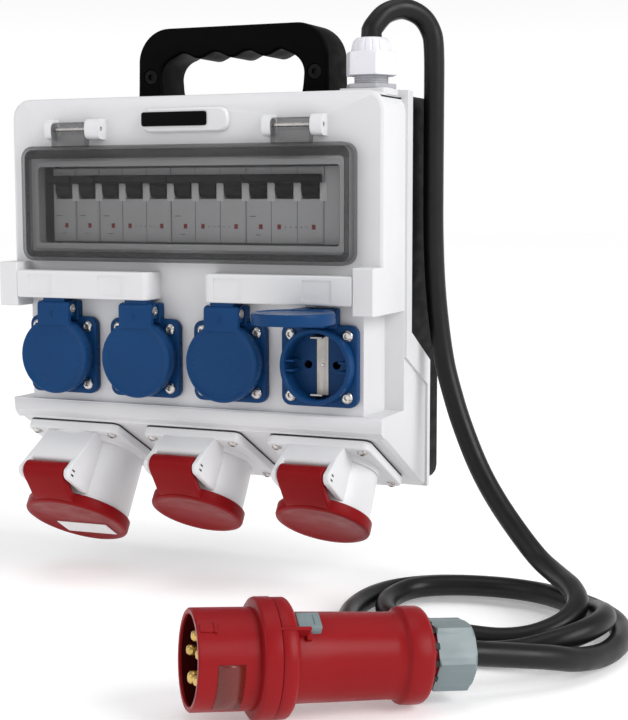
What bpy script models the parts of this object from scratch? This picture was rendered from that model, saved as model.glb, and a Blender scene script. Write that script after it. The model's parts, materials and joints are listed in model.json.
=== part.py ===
"""Portable power distribution box: white and black case with a smoked window over five breakers,
four 230 V outlets, three red-lidded 400 V outlets, a carry handle, and a supply lead that ends in a
five-pin plug. Metres, +Z up, the front faces -Y, and the origin is the middle of the back face."""

import math

import bmesh
import bpy
from mathutils import Matrix, Vector

# ---------------------------------------------------------------- driving dimensions (metres)
GAP = 0.0003                    # left between neighbouring pieces
WALL = 0.003                    # thickness of the moulded shells

# Case. Two shells meet on a parting line that steps back below the middle of the side.
CASE_HALF_WIDTH = 0.133
CASE_TOP = 0.127
CASE_BOTTOM = -0.127
FRONT_Y = -0.105                # front panel
PARTING_UPPER_Y = -0.059
PARTING_LOWER_Y = -0.023
PARTING_STEP_TOP = -0.023
PARTING_STEP_BOTTOM = -0.0441
RIM_HALF_WIDTH = 0.1345
RIM_TOP = 0.1285
RIM_UPPER_Y = -0.0683           # front edge of the raised rim along the parting line
RIM_LOWER_Y = -0.028
RIM_STEP_TOP = -0.0383
RIM_STEP_BOTTOM = -0.0595
CORNER_RADIUS = 0.012
GASKET_THICKNESS = 0.0012

# Waist with the four round outlets, and the ledge and slope below it.
WAIST_HALF_WIDTH = 0.120
WAIST_TOP = -0.0087
LEDGE_TOP = -0.072
LEDGE_FACE_BOTTOM = -0.081
LEDGE_Y = -0.109
WAIST_BACK_Y = -0.069
SLOPE_TOP = Vector((0.0, -0.1046, -0.0859))
SLOPE_ANGLE = math.radians(29.0)

# Window over the breakers.
APERTURE_X = (-0.110, 0.106)
APERTURE_Z = (0.0325, 0.0825)
COLLAR_X = (-0.114, 0.110)
COLLAR_Z = (0.028, 0.087)
COLLAR_Y = -0.110
COVER_X = (-0.1199, 0.1159)
COVER_Z = (0.0209, 0.0959)
COVER_FRONT_Y = -0.117
COVER_WALL = 0.002
COVER_HINGE_Y = -0.111
COVER_HINGE_Z = 0.1065
COVER_HINGES = {                # outer knuckle, tab of the cover, inner knuckle, left to right
    "left": ((-0.1010, -0.0960), (-0.0957, -0.0709), (-0.0706, -0.0605)),
    "right": ((0.0560, 0.0620), (0.0623, 0.0881), (0.0884, 0.0960)),
}

# Breakers on a 35 mm rail.
MODULE = 0.0179
BREAKER_LEFT = -0.106
BREAKER_POLES = (1, 1, 3, 3, 3)
BREAKER_FACE_Y = -0.099
BREAKER_SHOULDER_Y = -0.089
BREAKER_BACK_Y = -0.049
BREAKER_NOSE_Z = (0.033, 0.0818)
BREAKER_BODY_Z = (0.015, 0.100)
LEVER_PIVOT_Y = -0.0945
LEVER_PIVOT_Z = 0.068
LEVER_DRUM_RADIUS = 0.0062
LEVER_HALF_WIDTH = 0.00575
LEVER_BAR_Y = (-0.105, -0.100)
LEVER_BAR_Z = (0.0715, 0.0768)
RAIL_Y = (-0.0547, -0.0472)
RAIL_Z = (0.040, 0.075)

# Label strips and name plate.
STRIPS = {"left": (-0.1192, -0.0212), "right": (0.0188, 0.1192)}
STRIP_Z = (-0.003, 0.015)
STRIP_Y = -0.123
STRIP_WINDOWS = {"left": ((-0.1112, -0.0930), (-0.0575, -0.0392)),
                 "right": ((0.0262, 0.0452), (0.0866, 0.1058))}

# Round 230 V outlets.
OUTLET_X = (-0.0925, -0.0308, 0.0308, 0.0925)
OUTLET_Z = -0.041
OUTLET_FLANGE = 0.0255
OUTLET_FLANGE_Y = -0.1105
OUTLET_RIM_Y = -0.118
OUTLET_RIM_RADIUS = 0.0237
OUTLET_CUP_RADIUS = 0.0205
OUTLET_LID_RADIUS = 0.025
OUTLET_LID_Y = -0.123
OUTLET_HINGE_Y = -0.118
OUTLET_HINGE_Z = -0.010
OUTLET_NECK = 0.012
OUTLET_LUG = 0.0077
OPEN_OUTLET = 4                 # the outlet whose lid stands open
STRAP_HALF_WIDTH = 0.004
STRAP_HALF_LENGTH = 0.0198
STRAP_SEAT_Y = -0.1038          # floor of the groove that the earth strap lies in

# Red-lidded 400 V outlets: lid radius, lid face, and how far the body sits down the slope.
POWER_X = (-0.0895, 0.0, 0.0895)
POWER_SIZES = ((0.0353, 0.0600, 0.0045),
               (0.0307, 0.0482, 0.0022),
               (0.0307, 0.0482, 0.0022))
POWER_HINGE_OUT = 0.015         # from the lid's rim out to its hinge
POWER_HINGE_BACK = 0.015        # from the lid's face back to its hinge
POWER_HOOD_HALF_WIDTH = 0.0194
POWER_TONGUE_HALF_WIDTH = 0.0149
POWER_FLANGE_HALF = 0.035
POWER_FLANGE_THICKNESS = 0.007
POWER_FLANGE_CENTRE = 0.0345    # down the slope from its top edge
POWER_AXIS_ANGLE = math.radians(57.0)
POWER_LID_THICKNESS = 0.008
POWER_LID_OVERLAP = 0.002

# Handle, gland, lead and plug.
HANDLE_Y = (-0.045, -0.010)
HANDLE_HALF_WIDTH = 0.071
GLAND_X = 0.112
GLAND_Y = -0.073
GLAND_HEX = 0.0147              # half the width across flats
LEAD_RADIUS = 0.0065
PLUG_COLLAR_CENTRE = Vector((0.1525, -0.3127, -0.1613))
PLUG_HEADING = math.radians(39.6)
PLUG_TILT = math.radians(3.68)
PLUG_NUT_BACK = 0.1035
LATCH_ANGLE = math.radians(30.0)

# The lead's route from the gland to the plug's clamping nut.
LEAD_ROUTE = (
    (0.1120, -0.0730, 0.1610), (0.1135, -0.0713, 0.1685), (0.1183, -0.0652, 0.1760),
    (0.1262, -0.0560, 0.1795), (0.1343, -0.0467, 0.1760), (0.1393, -0.0410, 0.1675),
    (0.1415, -0.0400, 0.1550), (0.1418, -0.0400, 0.1200), (0.1418, -0.0400, 0.0750),
    (0.1422, -0.0400, 0.0350), (0.1445, -0.0400, -0.0030), (0.1500, -0.0410, -0.0400),
    (0.1570, -0.0430, -0.0640), (0.1650, -0.0450, -0.0850), (0.1770, -0.0490, -0.1090),
    (0.1910, -0.0540, -0.1290), (0.2080, -0.0600, -0.1480), (0.2220, -0.0670, -0.1600),
    (0.2370, -0.0820, -0.1650), (0.2520, -0.1040, -0.1670), (0.2600, -0.1250, -0.1710),
    (0.2560, -0.1420, -0.1770), (0.2430, -0.1550, -0.1820), (0.2260, -0.1610, -0.1845),
    (0.2050, -0.1620, -0.1845), (0.1800, -0.1580, -0.1845), (0.1580, -0.1470, -0.1845),
    (0.1440, -0.1280, -0.1845), (0.1390, -0.1060, -0.1835), (0.1470, -0.0850, -0.1815),
    (0.1690, -0.0720, -0.1806), (0.1980, -0.0660, -0.1806), (0.2240, -0.0700, -0.1806),
    (0.2480, -0.0870, -0.1800), (0.2640, -0.1050, -0.1780), (0.2760, -0.1280, -0.1730),
    (0.2800, -0.1500, -0.1710), (0.2740, -0.1700, -0.1725), (0.2600, -0.1840, -0.1765),
    (0.2420, -0.1900, -0.1815), (0.2200, -0.1940, -0.1840), (0.1950, -0.1960, -0.1845),
    (0.1640, -0.1900, -0.1845), (0.1390, -0.1700, -0.1845), (0.1270, -0.1430, -0.1845),
    (0.1250, -0.1080, -0.1845), (0.1340, -0.0800, -0.1845), (0.1560, -0.0600, -0.1845),
    (0.1900, -0.0510, -0.1845), (0.2220, -0.0550, -0.1845), (0.2520, -0.0720, -0.1845),
    (0.2740, -0.0960, -0.1845), (0.2850, -0.1220, -0.1845), (0.2880, -0.1450, -0.1845),
    (0.2850, -0.1700, -0.1840), (0.2770, -0.1960, -0.1800), (0.2650, -0.2160, -0.1745),
)
LEAD_STUB = 0.004               # straight run out of the gland and into the plug
LEAD_ARCH_LENGTH = 0.085
LEAD_SPACINGS = (0.0085, 0.025)  # between points along the arch over the gland, and after it

X_AXIS = Vector((1.0, 0.0, 0.0))
Y_AXIS = Vector((0.0, 1.0, 0.0))
Z_AXIS = Vector((0.0, 0.0, 1.0))


# ---------------------------------------------------------------- scene and helpers
def clear_scene():
    for obj in list(bpy.data.objects):
        bpy.data.objects.remove(obj, do_unlink=True)


def new_collection(name):
    collection = bpy.data.collections.new(name)
    bpy.context.scene.collection.children.link(collection)
    return collection


clear_scene()
PARTS = new_collection("power_distribution_box")
CUTTERS = new_collection("cutters")


def make_material(name, colour, roughness, metallic=0.0, alpha=1.0):
    material = bpy.data.materials.new(name)
    material.use_nodes = True
    shader = material.node_tree.nodes["Principled BSDF"]
    shader.inputs["Base Color"].default_value = (*colour, 1.0)
    shader.inputs["Roughness"].default_value = roughness
    shader.inputs["Metallic"].default_value = metallic
    shader.inputs["Alpha"].default_value = alpha
    material.diffuse_color = (*colour, alpha)
    return material


WHITE_PLASTIC = ("white_plastic", (0.82, 0.82, 0.83), 0.35)
BLACK_PLASTIC = ("black_plastic", (0.012, 0.012, 0.013), 0.45)
BLUE_PLASTIC = ("blue_plastic", (0.012, 0.078, 0.26), 0.35)
RED_PLASTIC = ("red_plastic", (0.30, 0.012, 0.016), 0.35)
GREY_PLASTIC = ("grey_plastic", (0.16, 0.21, 0.22), 0.4)
LIGHT_GREY_PLASTIC = ("light_grey_plastic", (0.55, 0.55, 0.56), 0.4)
SMOKED_PLASTIC = ("smoked_plastic", (0.10, 0.10, 0.11), 0.15, 0.0, 0.5)
BLACK_RUBBER = ("black_rubber", (0.02, 0.02, 0.02), 0.6)
STEEL = ("steel", (0.6, 0.6, 0.6), 0.3, 1.0)
BRASS = ("brass", (0.65, 0.48, 0.2), 0.3, 1.0)
COPPER = ("copper", (0.7, 0.35, 0.2), 0.3, 1.0)


def finish(name, bm, finish_values, pivot=(0.0, 0.0, 0.0), rotation=0.0):
    """Turn a bmesh in world coordinates into a named part whose origin is at pivot."""
    pivot = Vector(pivot)
    bmesh.ops.translate(bm, verts=bm.verts, vec=-pivot)
    bm.normal_update()
    bmesh.ops.recalc_face_normals(bm, faces=bm.faces)
    mesh = bpy.data.meshes.new(name)
    bm.to_mesh(mesh)
    bm.free()
    mesh.shade_smooth()
    mesh.set_sharp_from_angle(angle=math.radians(35.0))
    material = make_material(name, *finish_values[1:])
    mesh.materials.append(material)
    part = bpy.data.objects.new(name, mesh)
    part.location = pivot
    part.rotation_euler = (rotation, 0.0, 0.0)
    PARTS.objects.link(part)
    return part


def tool(part, bm, operation):
    """Cut, join or intersect a part with a bmesh given in world coordinates."""
    bm.normal_update()
    bmesh.ops.recalc_face_normals(bm, faces=bm.faces)
    name = f"{part.name}_{operation.lower()}_{len(part.modifiers)}"
    mesh = bpy.data.meshes.new(name)
    bm.to_mesh(mesh)
    bm.free()
    cutter = bpy.data.objects.new(name, mesh)
    cutter.matrix_world = part_turn(part)
    cutter.hide_render = True
    cutter.display_type = "WIRE"
    CUTTERS.objects.link(cutter)
    modifier = part.modifiers.new(name, "BOOLEAN")
    modifier.operation = operation
    modifier.object = cutter
    modifier.solver = "EXACT"
    return cutter


def part_turn(part):
    """The turn of a part about its own origin, which its tools share."""
    to_origin = Matrix.Translation(part.location)
    return to_origin @ part.rotation_euler.to_matrix().to_4x4() @ to_origin.inverted()


def cut(part, bm):
    tool(part, bm, "DIFFERENCE")


def join(part, bm):
    tool(part, bm, "UNION")


def box(*corner_pairs):
    """A bmesh of separate boxes, each given as ((x, x), (y, y), (z, z))."""
    bm = bmesh.new()
    for ranges in corner_pairs:
        low = Vector([min(pair) for pair in ranges])
        high = Vector([max(pair) for pair in ranges])
        place = Matrix.Translation((low + high) / 2) @ Matrix.Diagonal((*(high - low), 1.0))
        bmesh.ops.create_cube(bm, size=1.0, matrix=place)
    return bm


def cylinder(*rods, segments=24):
    """A bmesh of separate rods, each given as (start, end, radius) or (start, end, radius, end radius)."""
    bm = bmesh.new()
    for start, end, radius, *end_radius in rods:
        start = Vector(start)
        end = Vector(end)
        turn = (end - start).to_track_quat("Z", "Y").to_matrix().to_4x4()
        place = Matrix.Translation((start + end) / 2) @ turn
        bmesh.ops.create_cone(bm, cap_ends=True, segments=segments, radius1=radius,
                              radius2=end_radius[0] if end_radius else radius,
                              depth=(end - start).length, matrix=place)
    return bm


def lathe(profile, segments=24):
    """A closed (radius, height) profile turned about the Z axis."""
    bm = bmesh.new()
    verts = [bm.verts.new((radius, 0.0, height)) for radius, height in profile]
    edges = [bm.edges.new((start, end)) for start, end in zip(verts, verts[1:] + verts[:1])]
    bmesh.ops.spin(bm, geom=verts + edges, cent=(0.0, 0.0, 0.0), axis=Z_AXIS, angle=2 * math.pi,
                   steps=segments, use_merge=True)
    bmesh.ops.remove_doubles(bm, verts=bm.verts, dist=1e-6)
    return bm


def outline(loops, axis, low, high):
    """A flat outline, with any further loops as holes, drawn across an axis from low to high.

    Across X the outline's points are (y, z), and across Y they are (x, z).
    """
    curve = bpy.data.curves.new("outline", "CURVE")
    curve.dimensions = "2D"
    curve.fill_mode = "BOTH"
    curve.extrude = (high - low) / 2
    for points in loops:
        spline = curve.splines.new("POLY")
        spline.points.add(len(points) - 1)
        for target, (u, v) in zip(spline.points, points):
            target.co = (u, v, 0.0, 1.0)
        spline.use_cyclic_u = True
    holder = bpy.data.objects.new("outline", curve)
    mesh = bpy.data.meshes.new_from_object(holder)
    bm = bmesh.new()
    bm.from_mesh(mesh)
    bmesh.ops.remove_doubles(bm, verts=bm.verts, dist=1e-6)
    bmesh.ops.dissolve_limit(bm, angle_limit=math.radians(0.5), verts=bm.verts, edges=bm.edges)
    if axis == "X":
        turn = Matrix(((0, 0, 1, 0), (1, 0, 0, 0), (0, 1, 0, 0), (0, 0, 0, 1)))
        shift = X_AXIS
    else:
        turn = Matrix(((1, 0, 0, 0), (0, 0, -1, 0), (0, 1, 0, 0), (0, 0, 0, 1)))
        shift = Y_AXIS
    bm.transform(Matrix.Translation(shift * (low + high) / 2) @ turn)
    bpy.data.objects.remove(holder)
    bpy.data.curves.remove(curve)
    bpy.data.meshes.remove(mesh)
    return bm


def bevel(bm, width, segments, chosen):
    """Round the edges for which chosen(middle, direction) is true."""
    bm.edges.ensure_lookup_table()
    edges = []
    for edge in bm.edges:
        start, end = (vert.co for vert in edge.verts)
        if chosen((start + end) / 2, (end - start).normalized()):
            edges.append(edge)
    bmesh.ops.bevel(bm, geom=edges, offset=width, segments=segments, profile=0.5, affect="EDGES")
    return bm


def along(axis):
    """A test for edges that run along an axis."""
    return lambda middle, direction: abs(direction.dot(axis)) > 0.999


def rounded_box(ranges, axis, radius, segments=3, front=0.0, front_segments=2):
    """A box with the edges along an axis rounded, and the rim of its low end along that axis eased."""
    bm = bevel(box(ranges), radius, segments, along(axis))
    if front:
        level = min(ranges[[X_AXIS, Y_AXIS, Z_AXIS].index(axis)])
        bevel(bm, front, front_segments,
              lambda middle, direction: abs(middle.dot(axis) - level) < 1e-6)
    return bm


# ---------------------------------------------------------------- case
def parting_line(shift):
    """The parting line from top to bottom as (y, z) points, moved back by shift."""
    return [(PARTING_UPPER_Y + shift, CASE_TOP), (PARTING_UPPER_Y + shift, PARTING_STEP_TOP),
            (PARTING_LOWER_Y + shift, PARTING_STEP_BOTTOM), (PARTING_LOWER_Y + shift, CASE_BOTTOM)]


def slope_point(distance, depth=0.0):
    """A (y, z) point down the slope under the ledge, and depth inside the case."""
    y = SLOPE_TOP.y + distance * math.cos(SLOPE_ANGLE) + depth * math.sin(SLOPE_ANGLE)
    z = SLOPE_TOP.z - distance * math.sin(SLOPE_ANGLE) + depth * math.cos(SLOPE_ANGLE)
    return y, z


def slope_length(bottom):
    return (SLOPE_TOP.z - bottom) / math.sin(SLOPE_ANGLE)


def front_body():
    """The outer block of the front shell: front panel, slope and parting line."""
    foot = slope_point(slope_length(CASE_BOTTOM))
    points = [(FRONT_Y - 0.001, CASE_TOP + 0.001), (PARTING_UPPER_Y, CASE_TOP + 0.001),
              *parting_line(0.0)[1:], foot, slope_point(-0.0015)]
    bm = outline([points], "X", -CASE_HALF_WIDTH - 0.0001, CASE_HALF_WIDTH + 0.0001)
    return bevel(bm, 0.006, 3, lambda middle, direction: middle.z < SLOPE_TOP.z
                 and abs(direction.dot(slope_down())) > 0.999)


def front_rim():
    """The raised rim that runs along the parting line."""
    front = [(RIM_UPPER_Y, RIM_TOP), (RIM_UPPER_Y, RIM_STEP_TOP), (RIM_LOWER_Y, RIM_STEP_BOTTOM),
             (RIM_LOWER_Y, CASE_BOTTOM - 0.0005)]
    back = parting_line(0.0)
    back[0] = (back[0][0], RIM_TOP)
    back[-1] = (back[-1][0], CASE_BOTTOM - 0.0005)
    bm = outline([front + back[::-1]], "X", -RIM_HALF_WIDTH, RIM_HALF_WIDTH)
    bevel(bm, CORNER_RADIUS + 0.001, 4, lambda middle, direction: abs(direction.y) > 0.999)
    return bm


def front_inside():
    """The hollow of the front shell, without the two sides of the waist."""
    inner_foot = slope_point(slope_length(CASE_BOTTOM + WALL) + 0.0016, WALL)
    points = [(FRONT_Y + WALL, CASE_TOP - WALL), (0.02, CASE_TOP - WALL),
              (0.02, CASE_BOTTOM + WALL), (inner_foot[0], CASE_BOTTOM + WALL),
              (FRONT_Y + WALL, slope_point(0.0013, WALL)[1])]
    half = CASE_HALF_WIDTH - WALL
    bm = outline([points], "X", -half, half)
    bevel(bm, CORNER_RADIUS - WALL, 3, lambda middle, direction: abs(direction.y) > 0.999)
    return bm


def waist_sides(margin):
    """The two spaces beside the waist, grown by margin."""
    reach = CASE_HALF_WIDTH + 0.02
    spans = ((WAIST_HALF_WIDTH - margin, reach), (-reach, -WAIST_HALF_WIDTH + margin))
    return box(*((span, (-0.16, WAIST_BACK_Y + margin), (LEDGE_TOP - margin, WAIST_TOP + margin))
                 for span in spans))


def knuckle(x_range, y_low, y_high, z_low, z_high, radius):
    """A hinge knuckle that runs along X, rounded at its front edges."""
    return bevel(box((x_range, (y_low, y_high), (z_low, z_high))), radius, 3,
                 lambda middle, direction: abs(direction.x) > 0.999 and middle.y < y_low + 1e-5)


def build_front_shell():
    shell = finish("front_shell", front_body(), WHITE_PLASTIC)
    reach = CASE_HALF_WIDTH
    tool(shell, rounded_box(((-reach, reach), (FRONT_Y, 0.05), (CASE_BOTTOM - 0.05, CASE_TOP)), Y_AXIS,
                            CORNER_RADIUS, 4, front=0.0025), "INTERSECT")
    join(shell, front_rim())
    cut(shell, waist_sides(0.0))
    ledge = [(FRONT_Y + 0.0012, LEDGE_TOP), (LEDGE_Y, LEDGE_TOP), (LEDGE_Y, LEDGE_FACE_BOTTOM),
             (FRONT_Y + 0.0012, LEDGE_FACE_BOTTOM - 0.0046)]
    join(shell, bevel(outline([ledge], "X", -CASE_HALF_WIDTH - 0.0005, CASE_HALF_WIDTH + 0.0005),
                      0.001, 1, lambda middle, direction: middle.y < LEDGE_Y + 1e-5))
    ends = [((side * 0.1195, side * (CASE_HALF_WIDTH + 0.0002)), (STRIP_Y, FRONT_Y + 0.005),
             (WAIST_TOP, 0.0202)) for side in (-1, 1)]
    join(shell, bevel(box(*ends), 0.0006, 1,
                      lambda middle, direction: middle.y < STRIP_Y + 1e-5))
    join(shell, rounded_box((COLLAR_X, (COLLAR_Y, FRONT_Y + 0.001), COLLAR_Z), Y_AXIS, 0.003, 2,
                            front=0.001, front_segments=1))
    join(shell, rounded_box(((-0.0327, 0.0295), (FRONT_Y - 0.003, FRONT_Y + 0.001), (0.1034, 0.1189)),
                            Y_AXIS, 0.006, 3, front=0.0012, front_segments=1))
    for outer, _, inner in COVER_HINGES.values():
        for span in (outer, inner):
            join(shell, knuckle(span, -0.1154, FRONT_Y + 0.001, 0.0998, 0.1130, 0.0048))
    pad = ((GLAND_X - 0.016, GLAND_X + 0.016), (GLAND_Y - 0.016, GLAND_Y + 0.0125), (0.125, 0.1290))
    join(shell, rounded_box(pad, Z_AXIS, 0.004, 3))
    hollow = finish("front_hollow", front_inside(), WHITE_PLASTIC)
    cut(hollow, waist_sides(WALL))
    use_as_cutter(shell, hollow)
    cut(shell, rounded_box((APERTURE_X, (-0.12, -0.09), APERTURE_Z), Y_AXIS, 0.0015, 1))
    holes = [((x, -0.12, OUTLET_Z), (x, -0.095, OUTLET_Z), 0.0222) for x in OUTLET_X]
    cut(shell, cylinder(*holes))
    for x, size in zip(POWER_X, POWER_SIZES):
        centre, normal = flange_centre(x), slope_normal()
        cut(shell, cylinder((centre - normal * 0.012, centre + normal * 0.012, size[0] - 0.0035)))
    cut(shell, cylinder(((GLAND_X, GLAND_Y, 0.11), (GLAND_X, GLAND_Y, 0.14), 0.0102)))
    pin_holes = [((spans[0][0] - 0.001, COVER_HINGE_Y, COVER_HINGE_Z),
                  (spans[2][1] + 0.001, COVER_HINGE_Y, COVER_HINGE_Z), 0.0016)
                 for spans in COVER_HINGES.values()]
    cut(shell, cylinder(*pin_holes, segments=12))


def use_as_cutter(part, other):
    """Make an object that was built like a part into a cutter of part."""
    PARTS.objects.unlink(other)
    CUTTERS.objects.link(other)
    other.hide_render = True
    other.display_type = "WIRE"
    modifier = part.modifiers.new(other.name, "BOOLEAN")
    modifier.operation = "DIFFERENCE"
    modifier.object = other
    modifier.solver = "EXACT"


def build_rear_shell():
    start = parting_line(GASKET_THICKNESS + 2 * GAP)
    points = [*start, (0.0, CASE_BOTTOM), (0.0, CASE_TOP)]
    bm = outline([points], "X", -CASE_HALF_WIDTH, CASE_HALF_WIDTH)
    bevel(bm, 0.010, 4, lambda middle, direction: abs(direction.y) > 0.999)
    bevel(bm, 0.004, 2, lambda middle, direction: middle.y > -1e-5)
    shell = finish("rear_shell", bm, BLACK_PLASTIC)
    half = CASE_HALF_WIDTH - WALL
    hollow = box(((-half, half), (-0.08, -WALL), (CASE_BOTTOM + WALL, CASE_TOP - WALL)))
    cut(shell, bevel(hollow, 0.007, 3, along(Y_AXIS)))
    cut(shell, box(*(((side * 0.0543, side * 0.0677), (-0.0403, -0.0147), (0.12, 0.13))
                     for side in (-1, 1))))
    rail_posts = [((side * 0.095, side * 0.107), (RAIL_Y[1] + GAP, -0.002), (0.0505, 0.0645))
                  for side in (-1, 1)]
    bar_posts = [((side * 0.040, side * 0.048), (-0.0117, -0.002), (z, z + 0.006))
                 for side in (-1, 1) for z in (-0.017, -0.044)]
    join(shell, box(*rail_posts, *bar_posts))


def build_gasket():
    front = parting_line(GAP)
    back = parting_line(GAP + GASKET_THICKNESS)
    half = CASE_HALF_WIDTH - 0.0006
    bm = outline([front + back[::-1]], "X", -half, half)
    bevel(bm, 0.010, 3, lambda middle, direction: abs(direction.y) > 0.999)
    gasket = finish("housing_gasket", bm, BLACK_RUBBER)
    inner = half - 0.0024
    opening = box(((-inner, inner), (-0.08, 0.0), (CASE_BOTTOM + 0.0024, CASE_TOP - 0.0024)))
    cut(gasket, bevel(opening, 0.008, 3, along(Y_AXIS)))


def build_window_cover():
    outer = rounded_box((COVER_X, (COVER_FRONT_Y, FRONT_Y - 0.0006), COVER_Z), Y_AXIS, 0.007, 4,
                        front=0.003)
    pivot = (0.0, COVER_HINGE_Y, COVER_HINGE_Z)
    cover = finish("window_cover", outer, SMOKED_PLASTIC, pivot)
    inner = [(low + COVER_WALL, high - COVER_WALL) for low, high in (COVER_X, COVER_Z)]
    cut(cover, bevel(box((inner[0], (COVER_FRONT_Y + COVER_WALL, -0.09), inner[1])), 0.005, 3,
                     along(Y_AXIS)))
    tabs = [spans[1] for spans in COVER_HINGES.values()]
    join(cover, box(*((span, (-0.1155, -0.1085), (0.0945, 0.1050)) for span in tabs)))
    join(cover, cylinder(*(((span[0], COVER_HINGE_Y, COVER_HINGE_Z),
                            (span[1], COVER_HINGE_Y, COVER_HINGE_Z), 0.0047) for span in tabs),
                         segments=16))
    cut(cover, cylinder(*(((span[0] - 0.001, COVER_HINGE_Y, COVER_HINGE_Z),
                           (span[1] + 0.001, COVER_HINGE_Y, COVER_HINGE_Z), 0.0017) for span in tabs),
                        segments=12))
    for name, spans in COVER_HINGES.items():
        pin = cylinder(((spans[0][0] + 0.0005, COVER_HINGE_Y, COVER_HINGE_Z),
                        (spans[2][1] - 0.0005, COVER_HINGE_Y, COVER_HINGE_Z), 0.0013), segments=12)
        finish(f"window_hinge_pin_{name}", pin, STEEL)


# ---------------------------------------------------------------- breakers and wiring
def pole_centres(left, poles):
    return [left + MODULE * (pole + 0.5) for pole in range(poles)]


def build_breaker(number, left, poles):
    right = left + MODULE * poles
    x_range = (left + GAP / 2, right - GAP / 2)
    body = box((x_range, (BREAKER_SHOULDER_Y, BREAKER_BACK_Y), BREAKER_BODY_Z))
    breaker = finish(f"breaker_{number}", body, LIGHT_GREY_PLASTIC)
    join(breaker, bevel(box((x_range, (BREAKER_FACE_Y, BREAKER_SHOULDER_Y + 0.001), BREAKER_NOSE_Z)),
                        0.0008, 1, lambda middle, direction: middle.y < BREAKER_FACE_Y + 1e-5))
    rail_notch = (x_range[0] - 0.001, x_range[1] + 0.001)
    cut(breaker, box((rail_notch, (RAIL_Y[0] - GAP, BREAKER_BACK_Y + 0.001),
                      (RAIL_Z[0] - GAP, RAIL_Z[1] + GAP))))
    half = LEVER_HALF_WIDTH + GAP
    slot_depth = LEVER_PIVOT_Y + LEVER_DRUM_RADIUS + GAP
    slot_z = (LEVER_PIVOT_Z - LEVER_DRUM_RADIUS - GAP, LEVER_PIVOT_Z + LEVER_DRUM_RADIUS + GAP)
    cut(breaker, box(*(((x - half, x + half), (BREAKER_FACE_Y - 0.001, slot_depth), slot_z)
                       for x in pole_centres(left, poles))))
    pivot = Vector((left + MODULE * poles / 2, LEVER_PIVOT_Y, LEVER_PIVOT_Z))
    drums = [((x - LEVER_HALF_WIDTH, pivot.y, pivot.z), (x + LEVER_HALF_WIDTH, pivot.y, pivot.z),
              LEVER_DRUM_RADIUS) for x in pole_centres(left, poles)]
    lever = finish(f"breaker_lever_{number}", cylinder(*drums, segments=20), BLACK_PLASTIC, pivot)
    join(lever, lever_stems(pivot, pole_centres(left, poles)))
    bar = ((x_range[0] + 0.0005, x_range[1] - 0.0005), LEVER_BAR_Y, LEVER_BAR_Z)
    join(lever, bevel(box(bar), 0.0008, 1, along(X_AXIS)))


def lever_stems(pivot, centres):
    """The plates that join a lever's drums to its bar."""
    reach = Vector((0.0, sum(LEVER_BAR_Y) / 2 - pivot.y, sum(LEVER_BAR_Z) / 2 - pivot.z))
    angle = math.atan2(reach.z, -reach.y)
    half_width = LEVER_HALF_WIDTH - 0.0001
    stems = box(*(((x - half_width, x + half_width), (-reach.length, -0.003), (-0.002, 0.002))
                  for x in centres))
    stems.transform(Matrix.Translation((0.0, pivot.y, pivot.z)) @ Matrix.Rotation(-angle, 4, "X"))
    return stems


def build_wiring():
    web, flange = 0.001, 0.005
    y_front, y_back = RAIL_Y
    z_low, z_high = RAIL_Z
    hat = [(y_front, z_low), (y_front + web, z_low), (y_front + web, z_low + flange),
           (y_back, z_low + flange), (y_back, z_high - flange), (y_front + web, z_high - flange),
           (y_front + web, z_high), (y_front, z_high), (y_front, z_high - flange - web),
           (y_back - web, z_high - flange - web), (y_back - web, z_low + flange + web),
           (y_front, z_low + flange + web)]
    finish("din_rail", outline([hat], "X", -0.108, 0.108), STEEL)
    filler_x = (BREAKER_LEFT + 11 * MODULE + GAP, 0.1014)
    filler = finish("blank_filler", box((filler_x, (BREAKER_FACE_Y, -0.097), BREAKER_NOSE_Z)),
                    LIGHT_GREY_PLASTIC)
    ribs = [((x, x + 0.0015), (-0.0975, -0.090), (0.035, 0.080)) for x in (filler_x[0] + 0.0005, 0.0995)]
    join(filler, box(*ribs))
    comb = finish("busbar_comb", box(((-0.1015, 0.0865), (-0.076, -0.073), (0.0055, 0.012))), COPPER)
    teeth = [((x - 0.0025, x + 0.0025), (-0.0757, -0.0733), (0.011, BREAKER_BODY_Z[0] - GAP))
             for x in pole_centres(BREAKER_LEFT, sum(BREAKER_POLES))]
    join(comb, box(*teeth))
    for name, z in (("neutral_bar", -0.018), ("earth_bar", -0.045)):
        bar = finish(name, box(((-0.055, 0.055), (-0.022, -0.012), (z, z + 0.008))), BRASS)
        holes = [((x * 0.016, -0.023, z + 0.004), (x * 0.016, -0.017, z + 0.004), 0.0022)
                 for x in range(-3, 4)]
        cut(bar, cylinder(*holes, segments=8))


# ---------------------------------------------------------------- labels
def build_labels():
    for side, x_range in STRIPS.items():
        strip = finish(f"label_strip_{side}",
                       bevel(box((x_range, (STRIP_Y, FRONT_Y - GAP), STRIP_Z)), 0.0008, 1,
                             lambda middle, direction: middle.y < STRIP_Y + 1e-5), WHITE_PLASTIC)
        cut(strip, box(*((window, (STRIP_Y - 0.001, STRIP_Y + 0.0006), (-0.0007, 0.0122))
                         for window in STRIP_WINDOWS[side])))
    plate = ((-0.0320, 0.0148), (FRONT_Y - 0.0039, FRONT_Y - 0.003 - GAP), (0.1075, 0.1165))
    finish("name_plate", rounded_box(plate, Y_AXIS, 0.0015, 2), BLACK_PLASTIC)


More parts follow.
